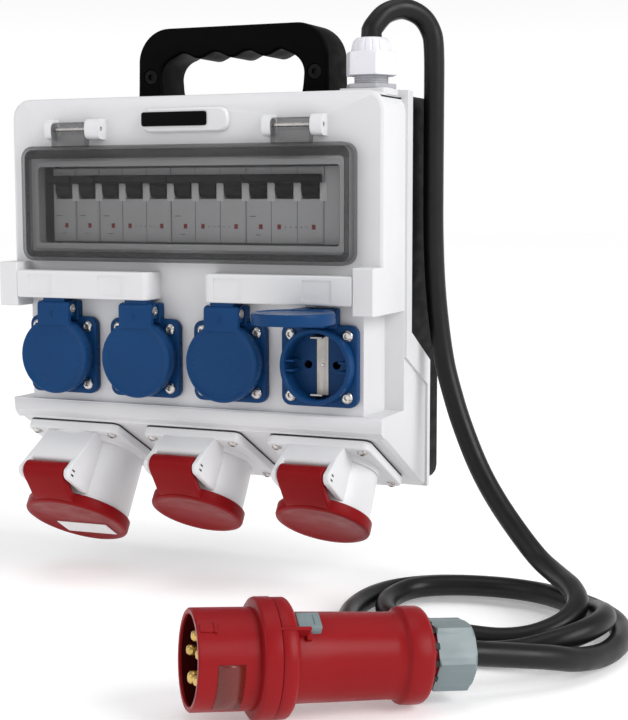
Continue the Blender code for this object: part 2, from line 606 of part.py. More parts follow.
# ---------------------------------------------------------------- round 230 V outlets
def build_outlet(number, x):
    front, back = OUTLET_FLANGE_Y, FRONT_Y - GAP
    centre = Vector((x, 0.0, OUTLET_Z))

    def rod(start_y, end_y, radius, across=0.0):
        return (centre + Vector((across, start_y, 0.0)), centre + Vector((across, end_y, 0.0)), radius)

    flange = ((x - OUTLET_FLANGE, x + OUTLET_FLANGE), (front, back),
              (OUTLET_Z - OUTLET_FLANGE, OUTLET_Z + OUTLET_FLANGE))
    socket = finish(f"schuko_socket_{number}",
                    rounded_box(flange, Y_AXIS, 0.006, 3, front=0.0008, front_segments=1), BLUE_PLASTIC)
    join(socket, cylinder(rod(OUTLET_RIM_Y, -0.107, OUTLET_RIM_RADIUS), segments=24))
    join(socket, cylinder(rod(-0.107, -0.072, 0.0215)))
    join(socket, box(((x - 0.0125, x + 0.0125), (front - 0.0003, back), (-0.021, -0.005))))
    lug_top, lug_low = OUTLET_HINGE_Z + 0.0027, OUTLET_HINGE_Z - 0.0027
    join(socket, box(((x - OUTLET_LUG, x + OUTLET_LUG), (OUTLET_HINGE_Y, front + 0.001),
                      (lug_low, lug_top))))
    join(socket, cylinder(hinge_rod(x, OUTLET_LUG - 0.0001, 0.0028), segments=16))
    cut(socket, cylinder(rod(-0.125, FRONT_Y, OUTLET_CUP_RADIUS), segments=24))
    cut(socket, cylinder(rod(-0.107, -0.093, 0.0026, 0.0095), rod(-0.107, -0.093, 0.0026, -0.0095),
                         segments=12))
    cut(socket, cylinder(hinge_rod(x, 0.010, 0.0015), segments=12))
    half = STRAP_HALF_WIDTH + GAP
    cut(socket, box(((x - half, x + half), (FRONT_Y - 0.001, STRAP_SEAT_Y),
                     (OUTLET_Z - STRAP_HALF_LENGTH - GAP, OUTLET_Z + STRAP_HALF_LENGTH + GAP))))
    pin = cylinder(hinge_rod(x, OUTLET_NECK + 0.0002, 0.0012), segments=12)
    finish(f"schuko_hinge_pin_{number}", pin, STEEL)
    build_outlet_lid(number, x)
    build_earth_strap(number, x)


def hinge_rod(x, half_length, radius):
    return ((x - half_length, OUTLET_HINGE_Y, OUTLET_HINGE_Z),
            (x + half_length, OUTLET_HINGE_Y, OUTLET_HINGE_Z), radius)


def build_outlet_lid(number, x):
    pivot = Vector((x, OUTLET_HINGE_Y, OUTLET_HINGE_Z))
    opening = -math.pi / 2 if number == OPEN_OUTLET else 0.0
    disc = cylinder(((x, OUTLET_LID_Y, OUTLET_Z), (x, -0.116, OUTLET_Z), OUTLET_LID_RADIUS),
                    segments=24)
    bevel(disc, 0.001, 1, lambda middle, direction: middle.y < OUTLET_LID_Y + 1e-5)
    lid = finish(f"schuko_lid_{number}", disc, BLUE_PLASTIC, pivot, opening)
    join(lid, box(((x - OUTLET_NECK, x + OUTLET_NECK), (OUTLET_LID_Y + 0.0002, -0.1186),
                   (-0.022, -0.0095))))
    join(lid, cylinder(hinge_rod(x, OUTLET_NECK - 0.0001, 0.0047), segments=16))
    inner = OUTLET_LUG + GAP
    cut(lid, box(((x - inner, x + inner), (-0.1211, -0.1115), (-0.0153, -0.003))))
    cut(lid, cylinder(((x, -0.1183, OUTLET_Z), (x, -0.110, OUTLET_Z), 0.0242), segments=24))
    cut(lid, cylinder(hinge_rod(x, 0.015, 0.0015), segments=12))


def build_earth_strap(number, x):
    """The earth contact: a strip across the cup's floor with a clip at each end."""
    half, thick, clip = STRAP_HALF_LENGTH, 0.0008, 0.011
    floor_y = STRAP_SEAT_Y - GAP
    points = [(floor_y, OUTLET_Z - half), (floor_y, OUTLET_Z + half),
              (floor_y - clip, OUTLET_Z + half - 0.0015), (floor_y - clip, OUTLET_Z + half - 0.0027),
              (floor_y - thick, OUTLET_Z + half - 0.0012), (floor_y - thick, OUTLET_Z - half + 0.0012),
              (floor_y - clip, OUTLET_Z - half + 0.0027), (floor_y - clip, OUTLET_Z - half + 0.0015)]
    strip = outline([points], "X", x - STRAP_HALF_WIDTH, x + STRAP_HALF_WIDTH)
    finish(f"schuko_earth_strap_{number}", strip, STEEL)


# ---------------------------------------------------------------- red-lidded 400 V outlets
def slope_normal():
    return Vector((0.0, -math.sin(SLOPE_ANGLE), -math.cos(SLOPE_ANGLE)))


def slope_down():
    return Vector((0.0, math.cos(SLOPE_ANGLE), -math.sin(SLOPE_ANGLE)))


def flange_centre(x):
    return Vector((x, SLOPE_TOP.y, SLOPE_TOP.z)) + slope_down() * POWER_FLANGE_CENTRE


def frame_matrix(origin, y_axis, z_axis):
    """A frame whose X runs along the case, for shapes drawn upright and then leaned over."""
    rotation = Matrix((X_AXIS, y_axis, z_axis)).transposed().to_4x4()
    return Matrix.Translation(origin) @ rotation


def build_power_outlet(number, x, size):
    lid_radius, lid_face, offset = size
    outward = Vector((0.0, -math.cos(POWER_AXIS_ANGLE), -math.sin(POWER_AXIS_ANGLE)))
    upward = Vector((0.0, -math.sin(POWER_AXIS_ANGLE), math.cos(POWER_AXIS_ANGLE)))
    body_frame = frame_matrix(flange_centre(x) + slope_down() * offset, upward, outward)
    flange_frame = frame_matrix(flange_centre(x), -slope_down(), slope_normal())
    body_radius = lid_radius - 0.0025
    lid_back = lid_face - POWER_LID_THICKNESS
    mouth = lid_back + POWER_LID_OVERLAP
    core = mouth - 0.012
    hinge_out = lid_radius + POWER_HINGE_OUT
    hinge_height = lid_face - POWER_HINGE_BACK
    hood_end = hinge_height - 0.0080
    hood_half, tongue_half = POWER_HOOD_HALF_WIDTH, POWER_TONGUE_HALF_WIDTH

    def leaned(bm, frame=body_frame):
        bm.transform(frame)
        return bm

    def upright(*rods, segments=24):
        return leaned(cylinder(*(((px, py, low), (px, py, high), radius)
                                 for px, py, low, high, radius in rods), segments=segments))

    half = POWER_FLANGE_HALF
    flange = rounded_box(((-half, half), (-half, half), (GAP, POWER_FLANGE_THICKNESS)), Z_AXIS, 0.005, 3)
    bevel(flange, 0.001, 1, lambda middle, direction: middle.z > POWER_FLANGE_THICKNESS - 1e-6)
    socket = finish(f"cee_socket_{number}", leaned(flange, flange_frame), WHITE_PLASTIC)
    join(socket, upright((0.0, 0.0, 0.004, mouth, body_radius), segments=24))
    stub = cylinder(((0.0, 0.0, -0.014), (0.0, 0.0, 0.003), lid_radius - 0.0045))
    join(socket, leaned(stub, flange_frame))
    hood = [(0.020, 0.005), (0.0345, 0.0055), (hinge_out - 0.001, hood_end - 0.004),
            (hinge_out - 0.001, hood_end), (0.020, hood_end)]
    join(socket, leaned(across_x(hood, -hood_half, hood_half)))
    ear = [(0.021, hood_end - 0.004), (hinge_out - 0.002, hood_end - 0.005),
           *arc((hinge_out, hinge_height), 0.0052, 0.0, 90.0, 4), (0.021, hinge_height + 0.0052)]
    for low, high in ((-hood_half + 0.0001, -tongue_half - GAP), (tongue_half + GAP, hood_half - 0.0001)):
        join(socket, leaned(across_x(ear, low, high)))
    cut(socket, upright((0.0, 0.0, mouth - 0.030, mouth + 0.01, body_radius - 0.0028), segments=24))
    core_radius = body_radius - 0.0085
    carrier = finish(f"cee_contact_carrier_{number}",
                     upright((0.0, 0.0, mouth - 0.030 + GAP, core, core_radius)), WHITE_PLASTIC)
    ring = core_radius * 0.62
    contacts = [(ring * math.sin(turn), -ring * math.cos(turn), core - 0.018, core + 0.002,
                 0.0033 if index == 0 else 0.0027)
                for index, turn in enumerate(math.radians(72 * step) for step in range(5))]
    cut(carrier, upright(*contacts, segments=10))

    def hinge_bar(half_length, radius):
        return leaned(cylinder(((-half_length, hinge_out, hinge_height),
                                (half_length, hinge_out, hinge_height), radius), segments=12))

    cut(socket, hinge_bar(hood_half - 0.0008, 0.0016))

    pivot = body_frame @ Vector((0.0, hinge_out, hinge_height))
    disc = cylinder(((0.0, 0.0, lid_back), (0.0, 0.0, lid_face), lid_radius), segments=24)
    bevel(disc, 0.001, 1, lambda middle, direction: middle.z > lid_face - 1e-6)
    lid = finish(f"cee_lid_{number}", leaned(disc), RED_PLASTIC, pivot)
    tongue = [(lid_radius - 0.004, lid_back + 0.0005), (lid_radius - 0.004, lid_face - 0.0008),
              (lid_radius + 0.0055, lid_face - 0.0038), (hinge_out + 0.0025, hinge_height + 0.0062),
              *arc((hinge_out, hinge_height), 0.0066, 30.0, -120.0, 6),
              (hinge_out - 0.0062, hinge_height - 0.001), (hinge_out - 0.0040, hinge_height + 0.0030),
              (lid_radius + 0.0008, lid_back + 0.0005)]
    join(lid, leaned(across_x(tongue, -tongue_half, tongue_half)))
    join(lid, hinge_bar(hood_half - 0.0012, 0.0013))
    cut(lid, upright((0.0, 0.0, lid_back - 0.02, mouth + 0.0004, lid_radius - 0.002), segments=24))


def across_x(points, low, high):
    """An outline in the (y, z) plane of a local frame, drawn along X."""
    return outline([points], "X", low, high)


# ---------------------------------------------------------------- handle and gland
def arc(centre, radius, start, end, steps):
    """Points on an arc, angles in degrees."""
    turns = [math.radians(start + (end - start) * step / steps) for step in range(steps + 1)]
    return [(centre[0] + radius * math.cos(turn), centre[1] + radius * math.sin(turn))
            for turn in turns]


def build_handle():
    base = CASE_TOP + GAP
    right = [(HANDLE_HALF_WIDTH, base), (0.0705, 0.150)]
    right += arc((0.0475, 0.1533), 0.023, 0, 90, 6)
    outer = right + [(-x, z) for x, z in reversed(right)]
    inner_right = [(0.051, base), (0.0525, 0.137), *arc((0.0395, 0.1435), 0.0135, 0, 62, 4)]
    grip = [(0.036, 0.1588), (0.025, 0.1555), (0.011, 0.1591), (0.0, 0.1556)]
    opening = inner_right + grip + [(-x, z) for x, z in reversed(inner_right + grip[:-1])]
    bm = outline([outer + opening[::-1]], "Y", *HANDLE_Y)
    handle = finish("carry_handle", bm, BLACK_PLASTIC)
    feet = [((side * 0.0546, side * 0.0674), (-0.040, -0.015), (0.116, 0.130)) for side in (-1, 1)]
    join(handle, box(*feet))
    for side, name in ((-1, "left"), (1, "right")):
        x, z = side * 0.061, 0.144
        cut(handle, cylinder(((x, -0.050, z), (x, -0.040, z), 0.0052), segments=16))
        cut(handle, cylinder(((x, -0.041, z), (x, -0.005, z), 0.0030), segments=12))
        bolt = finish(f"handle_bolt_{name}",
                      cylinder(((x, -0.0443, z), (x, -0.0403, z), 0.0048), segments=16), STEEL)
        join(bolt, cylinder(((x, -0.0410, z), (x, -0.0120, z), 0.0027), segments=12))
        cut(bolt, cylinder(((x, -0.046, z), (x, -0.0425, z), 0.0022), segments=6))


def hexagon(x, y, half_flats, low, high):
    """An upright hexagonal prism with a flat facing forward."""
    bm = cylinder(((0, 0, low), (0, 0, high), half_flats / math.cos(math.pi / 6)), segments=6)
    bm.transform(Matrix.Translation((x, y, 0.0)) @ Matrix.Rotation(math.radians(30.0), 4, "Z"))
    return bm


def build_gland():
    def upright(low, high, radius, end_radius=None):
        return ((GLAND_X, GLAND_Y, low), (GLAND_X, GLAND_Y, high), radius, end_radius or radius)

    body = finish("gland_body", hexagon(GLAND_X, GLAND_Y, GLAND_HEX - 0.0002, 0.1293, 0.1320),
                  LIGHT_GREY_PLASTIC)
    join(body, cylinder(upright(0.108, 0.1305, 0.0098)))
    join(body, cylinder(upright(0.1310, 0.1500, 0.0105)))
    cut(body, cylinder(upright(0.10, 0.16, 0.0070), segments=16))
    nut = finish("gland_nut", hexagon(GLAND_X, GLAND_Y, GLAND_HEX, 0.1374, 0.1515), WHITE_PLASTIC)
    join(nut, cylinder(upright(0.1505, 0.1577, 0.01175), segments=24))
    join(nut, cylinder(upright(0.1570, 0.1607, 0.01175, 0.0098), segments=24))
    cut(nut, cylinder(upright(0.13, 0.1520, 0.0109)))
    cut(nut, cylinder(upright(0.1515, 0.17, 0.0070), segments=16))


# ---------------------------------------------------------------- supply lead and plug
def plug_axis():
    return Vector((math.cos(PLUG_HEADING) * math.cos(PLUG_TILT),
                   math.sin(PLUG_HEADING) * math.cos(PLUG_TILT), -math.sin(PLUG_TILT)))


def plug_frame():
    """Local Z runs from the plug's mouth to its lead, and local Y is up."""
    axis = plug_axis()
    up = (Z_AXIS - axis * axis.z).normalized()
    rotation = Matrix((up.cross(axis), up, axis)).transposed().to_4x4()
    return Matrix.Translation(PLUG_COLLAR_CENTRE) @ rotation


def catmull_rom(before, start, end, after, t):
    return 0.5 * (2 * start + (end - before) * t + (2 * before - 5 * start + 4 * end - after) * t * t
                  + (3 * start - before - 3 * end + after) * t ** 3)


def smooth_route(points, bend_length, spacings):
    """Points on a smooth curve through the route's points, closer together along its first bend."""
    knots = [Vector(point) for point in points]
    knots = [2 * knots[0] - knots[1], *knots, 2 * knots[-1] - knots[-2]]
    fine = [catmull_rom(*knots[index - 1:index + 3], step / 12)
            for index in range(1, len(knots) - 2) for step in range(12)]
    fine.append(knots[-2])
    lengths = [0.0]
    for start, end in zip(fine, fine[1:]):
        lengths.append(lengths[-1] + (end - start).length)
    marks = [0.0]
    for stop, spacing in zip((bend_length, lengths[-1]), spacings):
        first = marks[-1]
        count = round((stop - first) / spacing)
        marks += [first + (stop - first) * (number + 1) / count for number in range(count)]
    route = []
    index = 0
    for mark in marks:
        while index < len(lengths) - 2 and lengths[index + 1] < mark:
            index += 1
        share = (mark - lengths[index]) / (lengths[index + 1] - lengths[index])
        route.append(fine[index].lerp(fine[index + 1], share))
    return route


def build_lead():
    gland_exit = Vector(LEAD_ROUTE[0])
    nut_back = plug_frame() @ Vector((0.0, 0.0, PLUG_NUT_BACK + GAP))
    points = [gland_exit + Z_AXIS * LEAD_STUB, *LEAD_ROUTE[1:], nut_back + plug_axis() * LEAD_STUB]
    route = [gland_exit, *smooth_route(points, LEAD_ARCH_LENGTH, LEAD_SPACINGS), nut_back]
    curve = bpy.data.curves.new("supply_cable", "CURVE")
    curve.dimensions = "3D"
    curve.bevel_depth = LEAD_RADIUS
    curve.bevel_resolution = 2
    curve.use_fill_caps = True
    spline = curve.splines.new("POLY")
    spline.points.add(len(route) - 1)
    for target, point in zip(spline.points, route):
        target.co = (*point, 1.0)
    curve.materials.append(make_material("supply_cable", *BLACK_RUBBER[1:]))
    PARTS.objects.link(bpy.data.objects.new("supply_cable", curve))


def build_plug():
    frame = plug_frame()

    def turned(*rods, segments=24):
        bm = cylinder(*(((px, py, low), (px, py, high), radius, end_radius)
                        for px, py, low, high, radius, end_radius in rods), segments=segments)
        bm.transform(frame)
        return bm

    shroud = lathe(((0.0222, -0.0396), (0.0244, -0.0396), (0.0250, -0.0390), (0.0250, -0.0090),
                    (0.0277, -0.0090), (0.0297, -0.0070), (0.0297, 0.0070), (0.0277, 0.0090),
                    (0.0172, 0.0090), (0.0172, -0.0060), (0.0222, -0.0060)))
    shroud.transform(frame)
    finish("plug_shroud", shroud, RED_PLASTIC)
    housing = lathe(((0.0172, 0.0093), (0.0220, 0.0093), (0.0225, 0.0098), (0.0215, 0.0650),
                     (0.0233, 0.0655), (0.0243, 0.0675), (0.0243, 0.0765), (0.0230, 0.0790),
                     (0.0155, 0.0790), (0.0155, 0.0890), (0.0075, 0.0890), (0.0075, 0.0580),
                     (0.0172, 0.0580)))
    housing.transform(frame)
    housing = finish("plug_housing", housing, RED_PLASTIC)
    latch_turn = frame @ Matrix.Rotation(LATCH_ANGLE, 4, "Z")
    pocket = box(((-0.0058, 0.0058), (0.0192, 0.030), (0.008, 0.0260)))
    pocket.transform(latch_turn)
    cut(housing, pocket)
    latch = box(((-0.0055, 0.0055), (0.0195, 0.0262), (0.0096, 0.0220)))
    bevel(latch, 0.001, 1, lambda middle, direction: middle.y > 0.0262 - 1e-6)
    latch.transform(latch_turn)
    latch_pivot = latch_turn @ Vector((0.0, 0.023, 0.016))
    finish("plug_latch", latch, GREY_PLASTIC, latch_pivot)

    carrier = finish("plug_contact_carrier", turned((0, 0, -0.0055, 0.030, 0.0168, 0.0168)), BLACK_PLASTIC)
    pins = []
    for index in range(5):
        turn = math.radians(72 * index)
        radius = 0.0036 if index == 0 else 0.003
        pins.append((0.0115 * math.sin(turn), -0.0115 * math.cos(turn), -0.033, -0.0045, radius, radius))
    join(carrier, turned(*pins, segments=12))

    nut = cylinder(((0, 0, 0.083), (0, 0, PLUG_NUT_BACK), 0.01885), segments=6)
    nut.transform(frame)
    nut = finish("plug_clamp_nut", nut, GREY_PLASTIC)
    cut(nut, turned((0, 0, 0.080, 0.095, 0.0159, 0.0159)))
    cut(nut, turned((0, 0, 0.094, 0.115, 0.0072, 0.0072), segments=16))


build_front_shell()
build_rear_shell()
build_gasket()
build_window_cover()
breaker_left = BREAKER_LEFT
for index, pole_count in enumerate(BREAKER_POLES, start=1):
    build_breaker(index, breaker_left, pole_count)
    breaker_left += MODULE * pole_count
build_wiring()
build_labels()
for index, outlet_x in enumerate(OUTLET_X, start=1):
    build_outlet(index, outlet_x)
for index, (power_x, power_size) in enumerate(zip(POWER_X, POWER_SIZES), start=1):
    build_power_outlet(index, power_x, power_size)
build_handle()
build_gland()
build_lead()
build_plug()
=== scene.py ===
"""Visual model of the portable power distribution box. Metres, +Z up, the front faces -Y."""

import json
import math

import bmesh
import bpy
from mathutils import Matrix, Vector


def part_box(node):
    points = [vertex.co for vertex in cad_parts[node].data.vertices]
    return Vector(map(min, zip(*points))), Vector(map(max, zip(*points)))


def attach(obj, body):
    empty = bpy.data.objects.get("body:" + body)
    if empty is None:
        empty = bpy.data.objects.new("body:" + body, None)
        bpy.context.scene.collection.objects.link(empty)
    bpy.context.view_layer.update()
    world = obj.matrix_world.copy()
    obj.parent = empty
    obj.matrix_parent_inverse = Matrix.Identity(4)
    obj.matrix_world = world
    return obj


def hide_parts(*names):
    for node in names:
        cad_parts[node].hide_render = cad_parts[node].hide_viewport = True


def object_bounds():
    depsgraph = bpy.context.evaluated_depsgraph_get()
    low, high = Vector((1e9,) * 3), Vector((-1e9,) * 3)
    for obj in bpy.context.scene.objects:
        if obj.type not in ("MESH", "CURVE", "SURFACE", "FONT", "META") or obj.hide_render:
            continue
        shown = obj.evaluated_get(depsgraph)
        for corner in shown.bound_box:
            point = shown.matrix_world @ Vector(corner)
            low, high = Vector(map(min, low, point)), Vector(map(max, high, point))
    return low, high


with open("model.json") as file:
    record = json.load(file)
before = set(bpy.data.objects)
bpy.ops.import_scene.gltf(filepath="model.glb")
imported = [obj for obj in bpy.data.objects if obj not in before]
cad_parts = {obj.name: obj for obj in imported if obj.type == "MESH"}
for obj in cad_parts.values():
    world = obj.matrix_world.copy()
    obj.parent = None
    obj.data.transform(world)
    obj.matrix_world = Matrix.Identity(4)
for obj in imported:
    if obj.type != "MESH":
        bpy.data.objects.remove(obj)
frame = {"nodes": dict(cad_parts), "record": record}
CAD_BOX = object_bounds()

RECORD = frame["record"]
NODES = frame["nodes"]
MOUNTS = {mount["name"]: mount for mount in RECORD["mounts"]}
JOINTS = {joint["name"]: joint for joint in RECORD["behaviour"]["joints"]}
X_AXIS = Vector((1.0, 0.0, 0.0))
Z_AXIS = Vector((0.0, 0.0, 1.0))
FLOOR_Z = CAD_BOX[0].z


def show(name, data):
    """A new object in the scene."""
    obj = bpy.data.objects.new(name, data)
    bpy.context.scene.collection.objects.link(obj)
    return obj


# ------------------------ camera
def make_camera():
    data = bpy.data.cameras.new("camera")
    data.lens = 76.15
    data.sensor_width = 36.0
    camera = show("camera", data)
    camera.location = (0.4626, -0.9678, 0.0631)
    camera.rotation_euler = (math.radians(83.86), math.radians(0.076), math.radians(23.53))
    bpy.context.scene.camera = camera


make_camera()


# ------------------------ materials
def new_material(name):
    material = bpy.data.materials.new(name)
    material.use_nodes = True
    nodes = material.node_tree.nodes
    return material, nodes, material.node_tree.links, nodes["Principled BSDF"]


def add(nodes, kind, **settings):
    node = nodes.new(kind)
    for key, value in settings.items():
        if key in node.inputs:
            node.inputs[key].default_value = value
        else:
            setattr(node, key, value)
    return node


def object_noise(nodes, links, scale, detail=3.0, stretch=(1.0, 1.0, 1.0)):
    coordinates = nodes.new("ShaderNodeTexCoord")
    mapping = nodes.new("ShaderNodeMapping")
    mapping.inputs["Scale"].default_value = stretch
    noise = add(nodes, "ShaderNodeTexNoise", Scale=scale, Detail=detail)
    links.new(coordinates.outputs["Object"], mapping.inputs["Vector"])
    links.new(mapping.outputs["Vector"], noise.inputs["Vector"])
    return noise


def ramp(nodes, links, source, low, high, low_at=0.3, high_at=0.7):
    node = nodes.new("ShaderNodeValToRGB")
    node.color_ramp.elements[0].position = low_at
    node.color_ramp.elements[1].position = high_at
    node.color_ramp.elements[0].color = (*low, 1.0)
    node.color_ramp.elements[1].color = (*high, 1.0)
    links.new(source, node.inputs["Fac"])
    return node.outputs["Color"]


def shades(colour, spread):
    return tuple(c * (1 - spread) for c in colour), tuple(min(c * (1 + spread), 1.0) for c in colour)


def bump_from(nodes, links, shader, noise, strength, distance):
    bumps = add(nodes, "ShaderNodeBump", Strength=strength, Distance=distance)
    links.new(noise.outputs["Fac"], bumps.inputs["Height"])
    links.new(bumps.outputs["Normal"], shader.inputs["Normal"])


def moulded(name, colour, roughness, spread, grain=1600.0, bump=0.06, wear=0.06, specular=0.5):
    """Moulded plastic: cloudy colour, a fine spark-eroded grain, and rubbed patches in the gloss."""
    material, nodes, links, shader = new_material(name)
    cloud = object_noise(nodes, links, 22.0, 4.0)
    colours = ramp(nodes, links, cloud.outputs["Fac"], *shades(colour, spread))
    links.new(colours, shader.inputs["Base Color"])
    rub = object_noise(nodes, links, 70.0, 5.0, (1.0, 1.0, 2.2))
    low, high = roughness - wear, roughness + wear
    rough = ramp(nodes, links, rub.outputs["Fac"], (low,) * 3, (high,) * 3, 0.35, 0.65)
    links.new(rough, shader.inputs["Roughness"])
    fine = object_noise(nodes, links, grain, 2.0)
    bump_from(nodes, links, shader, fine, bump, 0.0002)
    shader.inputs["Specular IOR Level"].default_value = specular
    return material


def metal(name, colour, roughness=0.25, stretch=(1.0, 1.0, 1.0), scale=900.0, bump=0.05):
    """Plated or drawn metal with fine scratches and uneven brightness."""
    material, nodes, links, shader = new_material(name)
    shader.inputs["Metallic"].default_value = 1.0
    cloud = object_noise(nodes, links, 120.0, 4.0)
    links.new(ramp(nodes, links, cloud.outputs["Fac"], *shades(colour, 0.12)), shader.inputs["Base Color"])
    scratches = object_noise(nodes, links, scale, 3.0, stretch)
    rough = ramp(nodes, links, scratches.outputs["Fac"], (roughness - 0.08,) * 3, (roughness + 0.12,) * 3)
    links.new(rough, shader.inputs["Roughness"])
    bump_from(nodes, links, shader, scratches, bump, 0.0001)
    return material


WHITE = moulded("case_white", (0.69, 0.69, 0.70), 0.38, 0.015, 1500.0, 0.05, specular=0.35)
SOCKET_WHITE = moulded("outlet_white", (0.73, 0.73, 0.74), 0.34, 0.015, 1800.0, 0.04, specular=0.35)
GLAND_WHITE = moulded("gland_white", (0.74, 0.74, 0.78), 0.32, 0.015, 1800.0, 0.04)
BLACK = moulded("shell_black", (0.0015, 0.0015, 0.0016), 0.50, 0.2, 1300.0, 0.08, specular=0.04)
HANDLE_BLACK = moulded("handle_black", (0.0014, 0.0014, 0.0015), 0.50, 0.2, 1100.0, 0.12, specular=0.035)
LEVER_BLACK = moulded("lever_black", (0.010, 0.010, 0.011), 0.35, 0.2, 1600.0, 0.05, specular=0.2)
BLUE = moulded("outlet_blue", (0.0070, 0.047, 0.146), 0.30, 0.06, 1500.0, 0.05, specular=0.10)
RED = moulded("signal_red", (0.225, 0.0065, 0.0085), 0.34, 0.06, 1500.0, 0.05, specular=0.06)
PLUG_RED = moulded("plug_red", (0.255, 0.0080, 0.0105), 0.34, 0.06, 1400.0, 0.06, specular=0.12)
PLUG_GREY = moulded("plug_grey", (0.165, 0.215, 0.225), 0.36, 0.05, 1500.0, 0.05)
BREAKER_GREY = moulded("breaker_grey", (0.66, 0.66, 0.67), 0.38, 0.02, 1700.0, 0.05)
# A lighter copy of the breaker grey: painted highlight on the lit faces of the raised cheeks.
BREAKER_CHEEK_HIGHLIGHT = moulded("breaker_cheek_painted_highlight", (0.84, 0.84, 0.84), 0.38, 0.02, 1700.0, 0.05)
MARK_RED = moulded("mark_red", (0.33, 0.012, 0.014), 0.4, 0.05)
MARK_DARK = moulded("mark_dark", (0.10, 0.10, 0.11), 0.5, 0.05)
PLATE_BLACK = moulded("plate_black", (0.0015, 0.0015, 0.0015), 0.35, 0.1, 900.0, 0.02, specular=0.05)
STICKER = moulded("sticker_white", (0.78, 0.78, 0.78), 0.45, 0.02, 2500.0, 0.03)
RUBBER = moulded("seal_rubber", (0.012, 0.012, 0.012), 0.62, 0.2, 900.0, 0.15)
STEEL = metal("bright_steel", (0.58, 0.56, 0.54), 0.22)
DULL_STEEL = metal("contact_steel", (0.40, 0.38, 0.36), 0.38, (1.0, 1.0, 0.05))
BLACK_STEEL = metal("blackened_steel", (0.012, 0.012, 0.012), 0.45)
BRASS = metal("pin_brass", (0.62, 0.42, 0.13), 0.25)
COPPER = metal("bar_copper", (0.62, 0.28, 0.15), 0.3, (0.05, 1.0, 1.0))


def sheath(name):
    """The lead's rubber sheath: matt, with a faint lengthwise drag and dust."""
    return moulded(name, (0.006, 0.006, 0.0063), 0.38, 0.25, 700.0, 0.16, 0.06, specular=0.26)


def smoked(name, face_on, edge_on):
    """Smoked clear plastic, darker and glossier where it is seen edge on."""
    material, nodes, links, shader = new_material(name)
    cloud = object_noise(nodes, links, 14.0, 3.0)
    colours = ramp(nodes, links, cloud.outputs["Fac"], (0.018, 0.018, 0.019), (0.026, 0.026, 0.027))
    links.new(colours, shader.inputs["Base Color"])
    rub = object_noise(nodes, links, 60.0, 5.0)
    rough = ramp(nodes, links, rub.outputs["Fac"], (0.08,) * 3, (0.16,) * 3)
    links.new(rough, shader.inputs["Roughness"])
    edge = add(nodes, "ShaderNodeLayerWeight", Blend=0.35)
    opacity = ramp(nodes, links, edge.outputs["Facing"], (face_on,) * 3, (edge_on,) * 3, 0.05, 0.9)
    links.new(opacity, shader.inputs["Alpha"])
    return material


CABLE = sheath("cable_sheath")
SMOKE = smoked("smoked_plastic", 0.20, 0.80)
# Darker smoked plastic for the sheet round the collar: partly the thick rim's own tint, partly painted
# shade.
SMOKE_RIM_SHADE = smoked("smoked_rim_painted_shade", 0.55, 0.90)


# ------------------------ building tools
def make(name, bm, material, body, frame_matrix=None, replaces=(), smooth=35.0):
    """A piece from a bmesh, in place, riding on its body."""
    if frame_matrix is not None:
        bm.transform(frame_matrix)
    bm.normal_update()
    bmesh.ops.recalc_face_normals(bm, faces=bm.faces)
    mesh = bpy.data.meshes.new(name)
    bm.to_mesh(mesh)
    bm.free()
    mesh.shade_smooth()
    mesh.set_sharp_from_angle(angle=math.radians(smooth))
    mesh.materials.append(material)
    piece = show(name, mesh)
    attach(piece, body)
    if replaces:
        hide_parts(*replaces)
    return piece


def ease(piece, width, segments, angle):
    """Round a piece's sharp edges."""
    modifier = piece.modifiers.new("ease", "BEVEL")
    modifier.width = width
    modifier.segments = segments
    modifier.limit_method = "ANGLE"
    modifier.angle_limit = math.radians(angle)
    modifier.harden_normals = True
    modifier.use_clamp_overlap = True
    return piece


def skin(node, material, body, width, segments=2):
    """A cleaned copy of a CAD node with its edges eased."""
    bm = bmesh.new()
    bm.from_mesh(NODES[node].data)
    bmesh.ops.remove_doubles(bm, verts=bm.verts, dist=2e-6)
    bmesh.ops.dissolve_limit(bm, angle_limit=math.radians(0.6), verts=bm.verts, edges=bm.edges)
    piece = make(f"{node}_skin", bm, material, body, replaces=(node,))
    if width:
        ease(piece, width, segments, 30.0)
    return piece


def keep(material, *names):
    """Give CAD nodes that stay a finished material."""
    for name in names:
        mesh = NODES[name].data
        mesh.materials.clear()
        mesh.materials.append(material)


def merge(*meshes):
    """One bmesh from several."""
    whole = bmesh.new()
    for bm in meshes:
        mesh = bpy.data.meshes.new("merge")
        bm.to_mesh(mesh)
        bm.free()
        whole.from_mesh(mesh)
        bpy.data.meshes.remove(mesh)
    return whole


def bmesh_from(mesh):
    """A bmesh that takes over a mesh."""
    bm = bmesh.new()
    bm.from_mesh(mesh)
    bpy.data.meshes.remove(mesh)
    return bm


def about_z(degrees):
    return Matrix.Rotation(math.radians(degrees), 4, "Z")


def span(centre, half):
    return centre - half, centre + half


def lathe(profile, segments=96, closed=True):
    """A (radius, height) profile turned about the Z axis."""
    bm = bmesh.new()
    verts = [bm.verts.new((radius, 0.0, height)) for radius, height in profile]
    pairs = list(zip(verts, verts[1:] + verts[:1])) if closed else list(zip(verts, verts[1:]))
    edges = [bm.edges.new(pair) for pair in pairs]
    bmesh.ops.spin(bm, geom=verts + edges, cent=(0.0, 0.0, 0.0), axis=Z_AXIS, angle=2 * math.pi,
                   steps=segments, use_merge=True)
    bmesh.ops.remove_doubles(bm, verts=bm.verts, dist=1e-6)
    return bm


def box(x_range, y_range, z_range, bevel=0.0, segments=2):
    bm = bmesh.new()
    low = Vector((min(x_range), min(y_range), min(z_range)))
    high = Vector((max(x_range), max(y_range), max(z_range)))
    place = Matrix.Translation((low + high) / 2) @ Matrix.Diagonal((*(high - low), 1.0))
    bmesh.ops.create_cube(bm, size=1.0, matrix=place)
    if bevel:
        bmesh.ops.bevel(bm, geom=bm.edges[:], offset=bevel, segments=segments, profile=0.5,
                        affect="EDGES")
    return bm


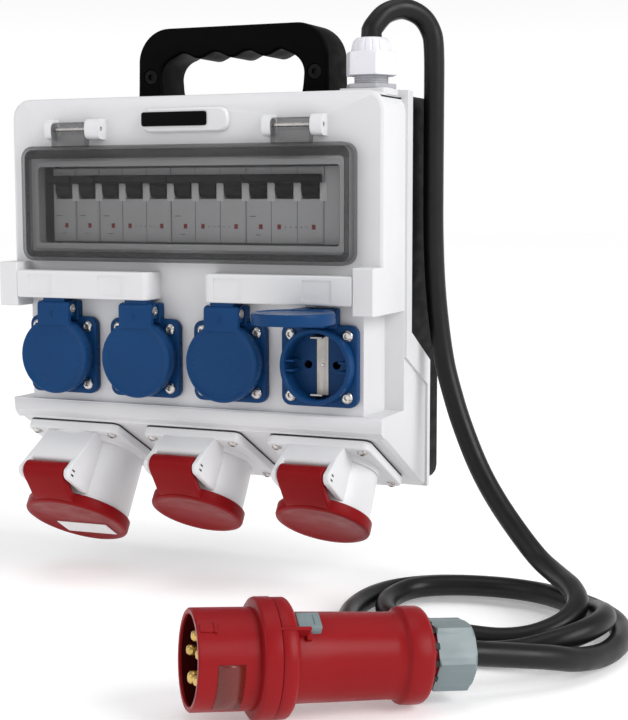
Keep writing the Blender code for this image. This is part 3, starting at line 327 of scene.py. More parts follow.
def rod(start, end, radius, segments):
    bm = bmesh.new()
    start, end = Vector(start), Vector(end)
    turn = (end - start).to_track_quat("Z", "Y").to_matrix().to_4x4()
    place = Matrix.Translation((start + end) / 2) @ turn
    bmesh.ops.create_cone(bm, cap_ends=True, segments=segments, radius1=radius, radius2=radius,
                          depth=(end - start).length, matrix=place)
    return bm


def slab(loops, axis, low, high, bevel=0.0, resolution=3):
    """A flat outline with rounded rims, drawn across an axis; further loops are holes.

    Across X its points are (y, z), across Y (x, z), and across Z (x, y).
    """
    curve = bpy.data.curves.new("slab", "CURVE")
    curve.dimensions = "2D"
    curve.fill_mode = "BOTH"
    curve.extrude = (high - low) / 2 - bevel
    curve.bevel_depth = bevel
    curve.bevel_resolution = resolution
    curve.offset = -bevel
    for points in loops:
        spline = curve.splines.new("POLY")
        spline.points.add(len(points) - 1)
        for target, (u, v) in zip(spline.points, points):
            target.co = (u, v, 0.0, 1.0)
        spline.use_cyclic_u = True
    holder = bpy.data.objects.new("slab", curve)
    bm = bmesh_from(bpy.data.meshes.new_from_object(holder))
    bmesh.ops.remove_doubles(bm, verts=bm.verts, dist=1e-6)
    turn = {"X": Matrix(((0, 0, 1, 0), (1, 0, 0, 0), (0, 1, 0, 0), (0, 0, 0, 1))),
            "Y": Matrix(((1, 0, 0, 0), (0, 0, -1, 0), (0, 1, 0, 0), (0, 0, 0, 1))),
            "Z": Matrix.Identity(4)}[axis]
    shift = {"X": X_AXIS, "Y": Vector((0, 1, 0)), "Z": Z_AXIS}[axis]
    bm.transform(Matrix.Translation(shift * (low + high) / 2) @ turn)
    bpy.data.objects.remove(holder)
    bpy.data.curves.remove(curve)
    return bm


def arc(centre, radius, start, end, steps):
    turns = [math.radians(start + (end - start) * step / steps) for step in range(steps + 1)]
    return [(centre[0] + radius * math.cos(turn), centre[1] + radius * math.sin(turn))
            for turn in turns]


def rounded_rectangle(u_range, v_range, radii, steps=6):
    """Corner radii run from the upper right, anticlockwise; one number does for all four."""
    if not isinstance(radii, tuple):
        radii = (radii,) * 4
    (u0, u1), (v0, v1) = u_range, v_range
    corners = ((u1, v1, -1, -1, 0), (u0, v1, 1, -1, 90), (u0, v0, 1, 1, 180), (u1, v0, -1, 1, 270))
    points = []
    for (u, v, du, dv, start), radius in zip(corners, radii):
        if radius:
            points += arc((u + du * radius, v + dv * radius), radius, start, start + 90, steps)
        else:
            points.append((u, v))
    return points


def frame_of(origin, y_axis, z_axis):
    rotation = Matrix((y_axis.cross(z_axis), y_axis, z_axis)).transposed().to_4x4()
    return Matrix.Translation(origin) @ rotation


def pan_screw(radius, height, socket):
    """A pan-head screw that stands on the XY plane, with a hexagonal recess."""
    dome = [(radius * math.cos(math.radians(turn)), height * (0.25 + 0.75 * math.sin(math.radians(turn))))
            for turn in (0, 20, 40, 58, 66)]
    inner = [(socket + 0.0002, height * 0.94), (socket, height * 0.85), (socket, height * 0.35),
             (0.0, height * 0.3)]
    head = lathe([(0.0, 0.0), (radius, 0.0), *dome, *inner], 36, closed=False)
    star = rod((0, 0, height * 0.32), (0, 0, height * 0.36), socket * 0.99, segments=6)
    return merge(head, star)


def carve(bm, other):
    """A mesh with another cut out of it."""
    objects = []
    for source in (bm, other):
        source.normal_update()
        bmesh.ops.recalc_face_normals(source, faces=source.faces)
        mesh = bpy.data.meshes.new("carve")
        source.to_mesh(mesh)
        source.free()
        objects.append(show("carve", mesh))
    modifier = objects[0].modifiers.new("carve", "BOOLEAN")
    modifier.operation = "DIFFERENCE"
    modifier.object = objects[1]
    modifier.solver = "EXACT"
    depsgraph = bpy.context.evaluated_depsgraph_get()
    result = bmesh_from(bpy.data.meshes.new_from_object(objects[0].evaluated_get(depsgraph)))
    for holder in objects:
        mesh = holder.data
        bpy.data.objects.remove(holder)
        bpy.data.meshes.remove(mesh)
    return result


def loft(levels, segments=96):
    """A closed skin through rings; each level is (height, radius as a function of the turn)."""
    bm = bmesh.new()
    rings = []
    for height, radius in levels:
        ring = []
        for index in range(segments):
            turn = 2 * math.pi * index / segments
            r = radius(turn)
            ring.append(bm.verts.new((r * math.cos(turn), r * math.sin(turn), height)))
        rings.append(ring)
    for low, high in zip(rings, rings[1:]):
        for index in range(segments):
            after = (index + 1) % segments
            bm.faces.new((low[index], low[after], high[after], high[index]))
    bm.faces.new(rings[0][::-1])
    bm.faces.new(rings[-1])
    return bm


def nut_radius(apothem, circle, sides=6, start=0.0):
    """The outline of a nut whose corners are turned down to a circle."""
    step = 2 * math.pi / sides

    def radius(turn):
        off = ((turn - start + step / 2) % step) - step / 2
        return min(circle, apothem / math.cos(off))

    return radius


def ring_of(radius):
    return lambda turn: radius


def digit(text, size, depth):
    """A raised number on the XY plane."""
    curve = bpy.data.curves.new("digit", "FONT")
    curve.body = text
    curve.size = size
    curve.extrude = depth / 2
    curve.align_x = "CENTER"
    curve.align_y = "CENTER"
    holder = bpy.data.objects.new("digit", curve)
    bm = bmesh_from(bpy.data.meshes.new_from_object(holder))
    bpy.data.objects.remove(holder)
    bpy.data.curves.remove(curve)
    return bm


def contact_ring(radius, turn, earth, live):
    """Five contacts as (x, y, radius) on a circle, the earth contact first, turned from the bottom."""
    turns = [math.radians(72 * index + turn) for index in range(5)]
    return [(radius * math.sin(angle), -radius * math.cos(angle), live if index else earth)
            for index, angle in enumerate(turns)]


def moved(bm, *shift):
    bm.transform(Matrix.Translation(Vector(shift)))
    return bm


def turned(bm, matrix):
    bm.transform(matrix)
    return bm


# Turns a mesh drawn on the XY plane, facing +Z, to face forward.
FACE_FRONT = Matrix(((1, 0, 0, 0), (0, 0, -1, 0), (0, 1, 0, 0), (0, 0, 0, 1)))


def facing(x, y, z):
    return Matrix.Translation((x, y, z)) @ FACE_FRONT


# ------------------------ supply lead
LEAD_ROUTE = (
    (0.1120, -0.0730, 0.1610), (0.1135, -0.0713, 0.1685), (0.1183, -0.0652, 0.1760),
    (0.1262, -0.0560, 0.1795), (0.1343, -0.0467, 0.1760), (0.1393, -0.0410, 0.1675),
    (0.1415, -0.0400, 0.1550), (0.1418, -0.0400, 0.1200), (0.1418, -0.0400, 0.0750),
    (0.1422, -0.0400, 0.0350), (0.1445, -0.0400, -0.0030), (0.1500, -0.0410, -0.0400),
    (0.1570, -0.0430, -0.0640), (0.1650, -0.0450, -0.0850), (0.1770, -0.0490, -0.1090),
    (0.1910, -0.0540, -0.1290), (0.2080, -0.0600, -0.1480), (0.2220, -0.0670, -0.1600),
    (0.2370, -0.0820, -0.1650), (0.2520, -0.1040, -0.1670), (0.2600, -0.1250, -0.1710),
    (0.2560, -0.1420, -0.1770), (0.2430, -0.1550, -0.1820), (0.2260, -0.1610, -0.1845),
    (0.2050, -0.1620, -0.1845), (0.1800, -0.1580, -0.1845), (0.1580, -0.1470, -0.1845),
    (0.1440, -0.1280, -0.1845), (0.1390, -0.1060, -0.1835), (0.1470, -0.0850, -0.1815),
    (0.1690, -0.0720, -0.1806), (0.1980, -0.0660, -0.1806), (0.2240, -0.0700, -0.1806),
    (0.2480, -0.0870, -0.1800), (0.2640, -0.1050, -0.1780), (0.2760, -0.1280, -0.1730),
    (0.2800, -0.1500, -0.1710), (0.2740, -0.1700, -0.1725), (0.2600, -0.1840, -0.1765),
    (0.2420, -0.1900, -0.1815), (0.2200, -0.1940, -0.1840), (0.1950, -0.1960, -0.1845),
    (0.1640, -0.1900, -0.1845), (0.1390, -0.1700, -0.1845), (0.1270, -0.1430, -0.1845),
    (0.1250, -0.1080, -0.1845), (0.1340, -0.0800, -0.1845), (0.1560, -0.0600, -0.1845),
    (0.1900, -0.0510, -0.1845), (0.2220, -0.0550, -0.1845), (0.2520, -0.0720, -0.1845),
    (0.2740, -0.0960, -0.1845), (0.2850, -0.1220, -0.1845), (0.2880, -0.1450, -0.1845),
    (0.2850, -0.1700, -0.1840), (0.2770, -0.1960, -0.1800), (0.2650, -0.2160, -0.1745),
)
LEAD_STUB = 0.004               # straight run out of the gland and into the plug
LEAD_RADIUS = 0.0065


def plug_frame():
    """Local Z runs from the plug's mouth to its lead, from the middle of the collar, and Y is up."""
    face = MOUNTS["plug_face"]
    axis = -Vector(face["axis"]).normalized()
    origin = Vector(face["pos_m"]) + axis * 0.0055
    up = (Z_AXIS - axis * axis.z).normalized()
    return frame_of(origin, up, axis)


def catmull_rom(before, start, end, after, t):
    return 0.5 * (2 * start + (end - before) * t + (2 * before - 5 * start + 4 * end - after) * t * t
                  + (3 * start - before - 3 * end + after) * t ** 3)


def lead_points():
    frame_matrix = plug_frame()
    axis = (frame_matrix.to_3x3() @ Z_AXIS).normalized()
    nut_back = frame_matrix @ Vector((0.0, 0.0, 0.1038))
    end = frame_matrix @ Vector((0.0, 0.0, 0.0980))
    start = Vector(LEAD_ROUTE[0])
    knots = [start + Z_AXIS * LEAD_STUB, *(Vector(point) for point in LEAD_ROUTE[1:]),
             nut_back + axis * LEAD_STUB]
    knots = [2 * knots[0] - knots[1], *knots, 2 * knots[-1] - knots[-2]]
    fine = [catmull_rom(*knots[index - 1:index + 3], step / 5)
            for index in range(1, len(knots) - 2) for step in range(5)]
    return [start, *fine, knots[-2], end]


def make_lead():
    points = lead_points()
    curve = bpy.data.curves.new("supply_lead", "CURVE")
    curve.dimensions = "3D"
    curve.bevel_depth = LEAD_RADIUS
    curve.bevel_resolution = 9
    curve.use_fill_caps = True
    spline = curve.splines.new("POLY")
    spline.points.add(len(points) - 1)
    for target, point in zip(spline.points, points):
        target.co = (*point, 1.0)
    spline.use_smooth = True
    curve.materials.append(CABLE)
    lead = show("supply_lead", curve)
    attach(lead, "case")
    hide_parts("supply_cable")
    length = sum((b - a).length for a, b in zip(points, points[1:]))
    return lead, points[0], length


LEAD, LEAD_EXIT, LEAD_LENGTH = make_lead()


# ------------------------ plug
def chamfered_nut(apothem, corner, low, high, ease_low, ease_high, start=0.0):
    """A hexagonal nut with its corners turned back at both ends."""
    return loft(((low, nut_radius(apothem, apothem * 0.99, start=start)),
                 (low, nut_radius(apothem, corner - ease_low, start=start)),
                 (low + ease_low * 0.6, nut_radius(apothem, corner, start=start)),
                 (high - ease_high * 0.6, nut_radius(apothem, corner, start=start)),
                 (high, nut_radius(apothem, corner - ease_high, start=start)),
                 (high, nut_radius(apothem, apothem * 0.9, start=start))), 120)


def make_plug():
    place = plug_frame()
    lip = [(0.0222, -0.0396), (0.0226, -0.0399), (0.0243, -0.0399), (0.0250, -0.0391)]
    shroud = lathe([*lip, (0.0250, -0.0094), (0.0262, -0.0092), (0.0285, -0.0090), (0.0296, -0.0082),
                    (0.0300, -0.0070), (0.0300, -0.0004), (0.0296, 0.0), (0.0222, 0.0),
                    (0.0222, -0.0060), (0.0222, -0.0300)], 128)
    key_turn = about_z(38.0)
    key = turned(box((-0.0024, 0.0024), (0.0245, 0.0257), (-0.0385, -0.0312), 0.0004, 1), key_turn)
    key_end = turned(box((-0.0030, 0.0030), (0.0245, 0.0262), (-0.0318, -0.0300), 0.0004, 1), key_turn)
    make("plug_shroud_skin", merge(shroud, key, key_end), PLUG_RED, "case", place,
         ("plug_shroud",), 40.0)
    patch = bmesh.new()
    for turn in range(92, 158, 3):
        angle = math.radians(turn)
        for height in (-0.0303, -0.0172):
            patch.verts.new((0.02515 * math.cos(angle), 0.02515 * math.sin(angle), height))
    patch.verts.ensure_lookup_table()
    for index in range(0, len(patch.verts) - 2, 2):
        v = patch.verts
        patch.faces.new((v[index], v[index + 1], v[index + 3], v[index + 2]))
    turned(patch, about_z(78.0))
    patch_piece = make("plug_window_patch", patch, PATCH, "case", place)
    thick = patch_piece.modifiers.new("thick", "SOLIDIFY")
    thick.thickness = 0.0003
    thick.offset = 0.0

    body = lathe([(0.0172, 0.0004), (0.0292, 0.0004), (0.0296, 0.0010), (0.0296, 0.0068),
                  (0.0290, 0.0078), (0.0276, 0.0089), (0.0252, 0.0092), (0.0228, 0.0096),
                  (0.0223, 0.0110), (0.0221, 0.0300), (0.0216, 0.0600), (0.0218, 0.0640),
                  (0.0226, 0.0656), (0.0238, 0.0662), (0.0244, 0.0675), (0.0246, 0.0720),
                  (0.0245, 0.0762), (0.0241, 0.0776), (0.0230, 0.0788), (0.0214, 0.0795),
                  (0.0190, 0.0797), (0.0162, 0.0797), (0.0156, 0.0803), (0.0156, 0.0870),
                  (0.0090, 0.0870), (0.0085, 0.0580), (0.0172, 0.0570)], 128)
    ridge = merge(box((-0.0009, 0.0009), (0.0214, 0.0302), (-0.0005, 0.0150), 0.0004, 1),
                  box((-0.0030, 0.0012), (0.0214, 0.0242), (0.0135, 0.0165), 0.0004, 1))
    turned(ridge, about_z(46.0))
    make("plug_housing_skin", merge(body, ridge), PLUG_RED, "case", place,
         ("plug_housing",), 40.0)
    seam = lathe([(0.0280, -0.0003), (0.0292, -0.0003), (0.0292, 0.0007), (0.0280, 0.0007)], 96)
    # A dark red sheet just inside the shroud's wall: painted shade inside the plug's mouth.
    liner = lathe([(0.02214, -0.0385), (0.02214, -0.0070), (0.0218, -0.0070), (0.02205, -0.0385)], 96)
    make("plug_shroud_shade_liner", liner, MOUTH_SHADE, "case", place, smooth=40.0)
    make("plug_seam", seam, SEAM_RED, "case", place)

    # The contact carrier in the same dark red: painted shade deep in the mouth.
    block = lathe([(0.0, -0.0055), (0.0160, -0.0055), (0.0168, -0.0047), (0.0168, 0.0300),
                   (0.0, 0.0300)], 72, closed=False)
    back = lathe([(0.0165, -0.0050), (0.0222, -0.0050), (0.0222, -0.0040), (0.0165, -0.0040)], 72)
    make("plug_block_skin", merge(block, back), MOUTH_SHADE, "case", place,
         ("plug_contact_carrier",), 40.0)
    pins = []
    for x, y, radius in contact_ring(0.0115, PIN_TURN, 0.0036, 0.003):
        tip = [(0.0, -0.0385), (radius * 0.55, -0.0383), (radius * 0.86, -0.0373), (radius, -0.0355),
               (radius, -0.0050), (0.0, -0.0050)]
        pins.append(moved(lathe(tip, 32, closed=False), x, y, 0.0))
    make("plug_pins", merge(*pins), BRASS, "case", place, smooth=50.0)

    nut = chamfered_nut(0.0163, 0.01885, 0.083, 0.1035, 0.0012, 0.0022, math.radians(30.0))
    bore = lathe([(0.0, 0.079), (0.0159, 0.079), (0.0159, 0.094), (0.0, 0.094)], 64, closed=False)
    nut = carve(nut, bore)
    piece = make("plug_nut_skin", nut, PLUG_GREY, "case", place, ("plug_clamp_nut",), 25.0)
    ease(piece, 0.0003, 1, 30.0)
    claws = []
    for index in range(12):
        claw = box((-0.0016, 0.0016), (0.0158, 0.0172), (0.0800, 0.0838), 0.0003, 1)
        claws.append(turned(claw, about_z(30.0 * index)))
    make("plug_claws", merge(*claws), RUBBER, "case", place)
    latch = box((-0.0053, 0.0053), (0.0200, 0.0260), (0.0098, 0.0218), 0.0008, 2)
    groove = box((-0.0036, 0.0036), (0.0255, 0.0270), (0.0130, 0.0185), 0.0006, 1)
    latch = carve(latch, groove)
    make("plug_latch_skin", latch, PLUG_GREY, "plug_latch",
         place @ about_z(LATCH_TURN), ("plug_latch",))


PIN_TURN = 26.0                 # degrees
LATCH_TURN = 30.0               # degrees
PATCH = moulded("plug_patch", (0.13, 0.012, 0.008), 0.28, 0.1)
SEAM_RED = moulded("plug_seam", (0.05, 0.002, 0.003), 0.6, 0.1, specular=0.05)
# Dark red for the liner and the contact carrier: painted shade inside the mouth.
MOUTH_SHADE = moulded("plug_mouth_painted_shade", (0.035, 0.0015, 0.002), 0.45, 0.1, specular=0.05)
make_plug()


# ------------------------ cable gland
def make_gland():
    low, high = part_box("gland_nut")
    x, y = (low.x + high.x) / 2, (low.y + high.y) / 2
    place = Matrix.Translation((x, y, 0.0))
    start = math.radians(90.0)
    base = chamfered_nut(0.0145, 0.0166, 0.1293, 0.1320, 0.0006, 0.0006, start)
    neck = lathe([(0.0072, 0.108), (0.0096, 0.108), (0.0096, 0.1300), (0.0105, 0.1300),
                  (0.0105, 0.1500), (0.0072, 0.1500)], 64)
    thread = [lathe([(0.0104, z), (0.0108, z + 0.0005), (0.0104, z + 0.0010)], 64)
              for z in (0.1322, 0.1336, 0.1350, 0.1364)]
    make("gland_neck", merge(base, neck, *thread), GLAND_NECK, "case", place,
         ("gland_body",), 30.0)
    hexagon = chamfered_nut(0.0147, 0.0168, 0.1374, 0.1516, 0.0006, 0.0012, start)

    def fluted(radius, depth):
        return lambda turn: radius - depth * max(0.0, math.cos(turn * 16)) ** 6

    dome = loft(((0.1512, fluted(0.0132, 0.0)), (0.1522, fluted(0.0128, 0.0004)),
                 (0.1535, fluted(0.0125, 0.0007)), (0.1560, fluted(0.0121, 0.0007)),
                 (0.1580, fluted(0.0115, 0.0006)), (0.1595, fluted(0.0105, 0.0003)),
                 (0.1604, ring_of(0.0094)), (0.1607, ring_of(0.0080)), (0.1604, ring_of(0.0070)),
                 (0.1585, ring_of(0.0067))), 192)
    piece = make("gland_cap", merge(hexagon, dome), GLAND_WHITE, "case", place,
                 ("gland_nut",), 30.0)
    ease(piece, 0.0003, 2, 35.0)


GLAND_NECK = moulded("gland_neck_grey", (0.40, 0.40, 0.43), 0.4, 0.03)
make_gland()


# ------------------------ case
def make_case():
    skin("front_shell", WHITE, "case", 0.0007, 3)
    skin("rear_shell", BLACK, "case", 0.0010, 3)
    skin("housing_gasket", RUBBER, "case", 0.0)
    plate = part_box("name_plate")
    outline = rounded_rectangle((plate[0].x, plate[1].x), (plate[0].z, plate[1].z), 0.0016, 5)
    make("name_plate_skin", slab([outline], "Y", plate[0].y, plate[1].y, 0.0002, 2), PLATE_BLACK, "case",
         replaces=("name_plate",))


def make_strips():
    """The two label strips: their inner ends are rounded, and each has two shallow label seats."""
    seats = {"left": ((-0.1112, -0.0930), (-0.0575, -0.0392)),
             "right": ((0.0262, 0.0452), (0.0866, 0.1058))}
    for side, windows in seats.items():
        low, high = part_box(f"label_strip_{side}")
        inner = (0, 0, 0, 0.0045) if side == "left" else (0, 0, 0.0045, 0)
        # Drawn across Z: the forward edge is the low end of Y.
        shape = rounded_rectangle((low.x, high.x), (low.y, high.y), inner, 8)
        body = slab([shape], "Z", low.z, high.z, 0.0011, 3)
        for x_range in windows:
            body = carve(body, box(x_range, (low.y - 0.001, low.y + 0.00045), (-0.0007, 0.0122)))
        make(f"label_strip_{side}_skin", body, WHITE, "case",
             replaces=(f"label_strip_{side}",), smooth=30.0)


def make_handle():
    low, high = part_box("carry_handle")
    base = low.z + 0.0112
    outer = [(0.071, base), (0.0705, 0.150), *arc((0.0475, 0.1533), 0.023, 0, 90, 16)]
    outer += [(-x, z) for x, z in reversed(outer)]
    grip = []
    for step in range(1, 56):
        x = 0.0385 - 0.077 * step / 56
        grip.append((x, 0.1573 - 0.0019 * math.cos(2 * math.pi * x / 0.0245)))
    right = [(0.051, base), (0.0525, 0.137), *arc((0.0395, 0.1435), 0.0135, 0, 75, 10)]
    opening = right + grip + [(-x, z) for x, z in reversed(right)]
    body = slab([outer + opening[::-1]], "Y", low.y, high.y, 0.0026, 4)
    feet = [box((side * 0.0546, side * 0.0674), (-0.040, -0.015), (0.116, 0.130)) for side in (-1, 1)]
    for side in (-1, 1):
        body = carve(body, rod((side * 0.061, -0.050, 0.144), (side * 0.061, -0.0400, 0.144), 0.0053,
                               segments=48))
    make("carry_handle_skin", merge(body, *feet), HANDLE_BLACK, "case",
         replaces=("carry_handle",), smooth=30.0)
    keep(BLACK_STEEL, "handle_bolt_left", "handle_bolt_right")


def make_window():
    """The smoked hood over the breakers: an open-backed shell with a bevelled rim and two hinge tabs."""
    pivot = Vector(JOINTS["window_cover_hinge"]["pos_m"])
    low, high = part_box("window_cover")
    top = 0.0959
    rim, front, back, wall = 0.0032, low.y, high.y, 0.0020
    shape = [(low.x, high.x), (low.z, top)]

    def ring(inset, y, radius):
        (x0, x1), (z0, z1) = shape
        return [(u, y, v) for u, v in
                rounded_rectangle((x0 + inset, x1 - inset), (z0 + inset, z1 - inset), radius, 8)]

    levels = [ring(0.0, back, 0.008), ring(0.0, front + rim, 0.008)]
    for turn in (20, 45, 70):
        angle = math.radians(turn)
        levels.append(ring(rim * (1 - math.cos(angle)), front + rim * (1 - math.sin(angle)),
                           0.008 - rim * 0.6 * (1 - math.cos(angle))))
    levels.append(ring(rim, front, 0.006))
    inner = [ring(rim + 0.0004, front + wall, 0.0055), ring(wall + 0.0004, front + wall + rim * 0.5, 0.006),
             ring(wall, back, 0.006)]
    bm = bmesh.new()
    rings = [[bm.verts.new(point) for point in level] for level in levels]
    inside = [[bm.verts.new(point) for point in level] for level in inner]
    count = len(rings[0])
    for first, second in [*zip(rings, rings[1:]), *zip(inside, inside[1:]), (inside[-1], rings[0])]:
        for index in range(count):
            after = (index + 1) % count
            bm.faces.new((first[index], first[after], second[after], second[index]))
    bm.faces.new(rings[-1])
    bm.faces.new(inside[0])
    tabs = []
    for spans in ((-0.0957, -0.0709), (0.0623, 0.0881)):
        tab = slab([[(-0.1155, 0.0950), (-0.1092, 0.0950), (-0.1078, pivot.z - 0.0030),
                     *arc((pivot.y, pivot.z), 0.0047, -40, 190, 14)]], "X", spans[0], spans[1], 0.0004, 2)
        tabs.append(tab)
    make("window_cover_skin", merge(bm, *tabs), SMOKE, "window_cover",
         replaces=("window_cover",), smooth=50.0)
    # A darker smoked sheet inside the hood, round the collar of the opening: it stands for the hood's thick
    # bevelled rim seen through the top wall, and paints the shade on the panel behind it.
    outer = rounded_rectangle((low.x + wall + 0.0004, high.x - wall - 0.0004),
                              (low.z + wall + 0.0004, top - wall - 0.0004), 0.0055, 8)
    hole = rounded_rectangle((-0.1146, 0.1106), (0.0274, 0.0876), 0.003, 4)
    frame_bm = slab([outer, hole[::-1]], "Y", -0.1146, -0.1128, 0.0003, 1)
    make("window_cover_shade_sheet", frame_bm, SMOKE_RIM_SHADE, "window_cover", smooth=40.0)
    keep(STEEL, "window_hinge_pin_left", "window_hinge_pin_right")


POLE = 0.0179                   # width of one breaker pole
BREAKERS_LEFT = -0.106
BREAKER_POLES = (1, 1, 3, 3, 3)
PRINT_BACK = -0.0989            # behind the breakers' faces
PRINT_Y = (-0.09912, PRINT_BACK)


def make_breakers():
    marks_red, marks_dark, cheeks = [], [], []

    def red_square(low, high):
        marks_red.append(box((low, high), (-0.09925, PRINT_BACK), (0.0425, 0.0455), 0.0001, 1))

    left = BREAKERS_LEFT
    for number, poles in enumerate(BREAKER_POLES, start=1):
        lever = f"breaker_lever_{number}"
        skin(f"breaker_{number}", BREAKER_GREY, "case", 0.0004, 2)
        skin(lever, LEVER_BLACK, lever, 0.0005, 2)
        for index in range(1, poles):
            x = left + POLE * index
            marks_dark.append(box(span(x, 0.0001), (-0.09915, PRINT_BACK), (0.034, 0.0812)))
        red_square(left + 0.0094, left + 0.0118)
        for row, (z, wide) in enumerate(((0.0505, 0.0042), (0.0388, 0.0034))):
            start = left + 0.0030 + 0.004 * row
            marks_dark.append(box((start, start + wide), PRINT_Y, span(z, 0.0002)))
        if poles == 3:
            for x in (left + POLE * 1.30, left + POLE * 2.62):
                red_square(x - 0.0012, x + 0.0012)
            for step in range(5):
                x = left + POLE * (1.55 + 0.2 * step)
                marks_dark.append(box(span(x, 0.0004), PRINT_Y, (0.0436, 0.0442)))
        # Slightly raised cheeks at each lever, drawn lighter than the breaker body as a painted highlight.
        for index in range(poles):
            x = left + POLE * (index + 1)
            cheeks.append(box(span(x, 0.0026), (-0.0993, -0.0985), (0.0600, 0.0712), 0.0004, 2))
        left += POLE * poles
    make("breaker_cheeks", merge(*cheeks), BREAKER_CHEEK_HIGHLIGHT, "case")
    make("breaker_test_marks", merge(*marks_red), MARK_RED, "case")
    make("breaker_print_lines", merge(*marks_dark), MARK_DARK, "case")
    skin("blank_filler", BREAKER_GREY, "case", 0.0004, 2)
    keep(DULL_STEEL, "din_rail")
    keep(COPPER, "busbar_comb")
    keep(BRASS, "neutral_bar", "earth_bar")


make_case()
make_strips()
make_handle()
make_window()
make_breakers()


# ------------------------ round outlets
def make_outlets():
    flange_front, flange_back, floor = -0.1105, -0.1053, -0.105
    screws = []
    for number in range(1, 5):
        hinge = Vector(JOINTS[f"schuko_lid_{number}_hinge"]["pos_m"])
        x, z = hinge.x, hinge.z - 0.031
        centre = facing(x, 0.0, z)
        flange = slab([rounded_rectangle(span(x, 0.0255), span(z, 0.0255), 0.006, 8),
                       arc((x, z), 0.0215, 360, 0, 64)[:-1]], "Y", flange_front, flange_back, 0.0009, 3)
        # Heights here are measured forward from the origin plane.
        rim = lathe([(0.0205, -floor + 0.0008), (0.0205, 0.1165), (0.0209, 0.1176), (0.0214, 0.1180),
                     (0.0228, 0.1180), (0.0235, 0.1175), (0.0237, 0.1166), (0.0237, 0.1110),
                     (0.0241, 0.1100), (0.0215, 0.1060), (0.0215, 0.0720), (0.0213, 0.0720),
                     (0.0208, -floor - 0.0012)], 96)
        turned(rim, centre)
        floor_loops = [arc((x, z), 0.0207, 0, 360, 64)[:-1],
                       arc((x + 0.0095, z), 0.0026, 360, 0, 24)[:-1],
                       arc((x - 0.0095, z), 0.0026, 360, 0, 24)[:-1]]
        plate = slab(floor_loops, "Y", floor, floor + 0.0012)
        plate = carve(plate, box(span(x, 0.0043), (floor - 0.001, floor + 0.0013),
                                 span(z, 0.0201)))
        plate = merge(plate, box(span(x, 0.0050), (floor + 0.0012, floor + 0.0020),
                                 span(z, 0.0204)))
        ribs = []
        for side in (-1, 1):
            for shift in (-0.0030, 0.0030):
                ribs.append(box((x + side * 0.0150, x + side * 0.0207), (-0.1165, floor + 0.0005),
                                (z + shift - 0.0007, z + shift + 0.0007), 0.0003, 1))
        block = box(span(x, 0.0125), (-0.1118, flange_back), (-0.0185, -0.0052), 0.0012, 3)
        lug = box(span(x, 0.0076), (hinge.y, flange_front + 0.001),
                  span(hinge.z, 0.0027), 0.0003, 1)
        barrel = rod((x - 0.0076, hinge.y, hinge.z), (x + 0.0076, hinge.y, hinge.z), 0.0028, segments=32)
        make(f"schuko_socket_{number}_skin", merge(flange, rim, plate, block, lug, barrel, *ribs), BLUE,
             "case", replaces=(f"schuko_socket_{number}",), smooth=32.0)
        # Near-black cups behind the two pin holes: painted shade inside the holes.
        wells = [turned(lathe([(0.0, 0.093), (0.0030, 0.093), (0.0030, 0.1048), (0.0026, 0.1048),
                               (0.0026, 0.0935), (0.0, 0.0935)], 24, closed=False),
                        facing(x + side * 0.0095, 0.0, z)) for side in (-1, 1)]
        make(f"schuko_hole_shade_{number}", merge(*wells), HOLE_SHADE, "case", smooth=30.0)
        keep(STEEL, f"schuko_hinge_pin_{number}")
        for dx in (-0.019, 0.019):
            for dz in (-0.019, 0.019):
                screw = turned(pan_screw(0.0038, 0.0022, 0.0019),
                               facing(x + dx, flange_front - 0.0001, z + dz)
                               @ Matrix.Rotation(dx * 31.0 + dz * 17.0 + x, 4, "Z"))
                screws.append(screw)
        screws.append(turned(pan_screw(0.0011, 0.0004, 0.0004),
                             facing(x, floor - 0.0001, z)))
        skin(f"schuko_earth_strap_{number}", DULL_STEEL, "case", 0.0002, 1)
        make_outlet_lid(number, hinge, x, z)
    make("schuko_screws", merge(*screws), STEEL, "case", smooth=40.0)


def make_outlet_lid(number, hinge, x, z):
    """The round hinged lid, drawn closed and then turned to where it rests."""
    closed = facing(x, 0.0, z)
    disc = lathe([(0.0, 0.1225), (0.0100, 0.12248), (0.0185, 0.12235), (0.0216, 0.1221), (0.0222, 0.1224),
                  (0.0232, 0.1230), (0.0241, 0.1229), (0.0247, 0.1224), (0.0250, 0.1214), (0.0250, 0.1162),
                  (0.0248, 0.1160), (0.0243, 0.1160), (0.0242, 0.1183), (0.0, 0.1183)], 96, closed=False)
    turned(disc, closed)
    # Across X: the neck's side view from the disc up to the barrel round the pin.
    side = [(-0.1190, z + 0.0185), (-0.1186, hinge.z - 0.0052), (-0.1150, hinge.z - 0.0052),
            (-0.1140, hinge.z - 0.0030), *arc((hinge.y, hinge.z), 0.0047, -40, 90, 8),
            (-0.1212, hinge.z + 0.0047), *arc((-0.1205, hinge.z + 0.0022), 0.0025, 90, 180, 5),
            (-0.1230, z + 0.0200)]
    neck = slab([side], "X", x - 0.0120, x + 0.0120, 0.0010, 3)
    inner = box(span(x, 0.0080), (-0.1211, -0.1115), (hinge.z - 0.0053, hinge.z + 0.0070))
    neck = carve(neck, inner)
    figure = turned(digit(str(number), 0.0062, 0.0006),
                    facing(x - 0.001, -0.12305, hinge.z - 0.0035))
    eye = turned(lathe([(0.0, 0.0), (0.0030, 0.0), (0.0030, 0.0005), (0.0026, 0.0008), (0.0019, 0.0008),
                        (0.0018, 0.0002), (0.0, 0.0002)], 36, closed=False),
                 Matrix.Translation((x + 0.01195, hinge.y, hinge.z)) @ Matrix.Rotation(math.pi / 2, 4, "Y"))
    body = f"schuko_lid_{number}"
    rest = frame_turn(body, hinge)
    make(f"{body}_skin", merge(disc, neck, figure), BLUE, body, rest,
         (body,), 32.0)
    make(f"{body}_eye", eye, STEEL, body, rest, smooth=40.0)


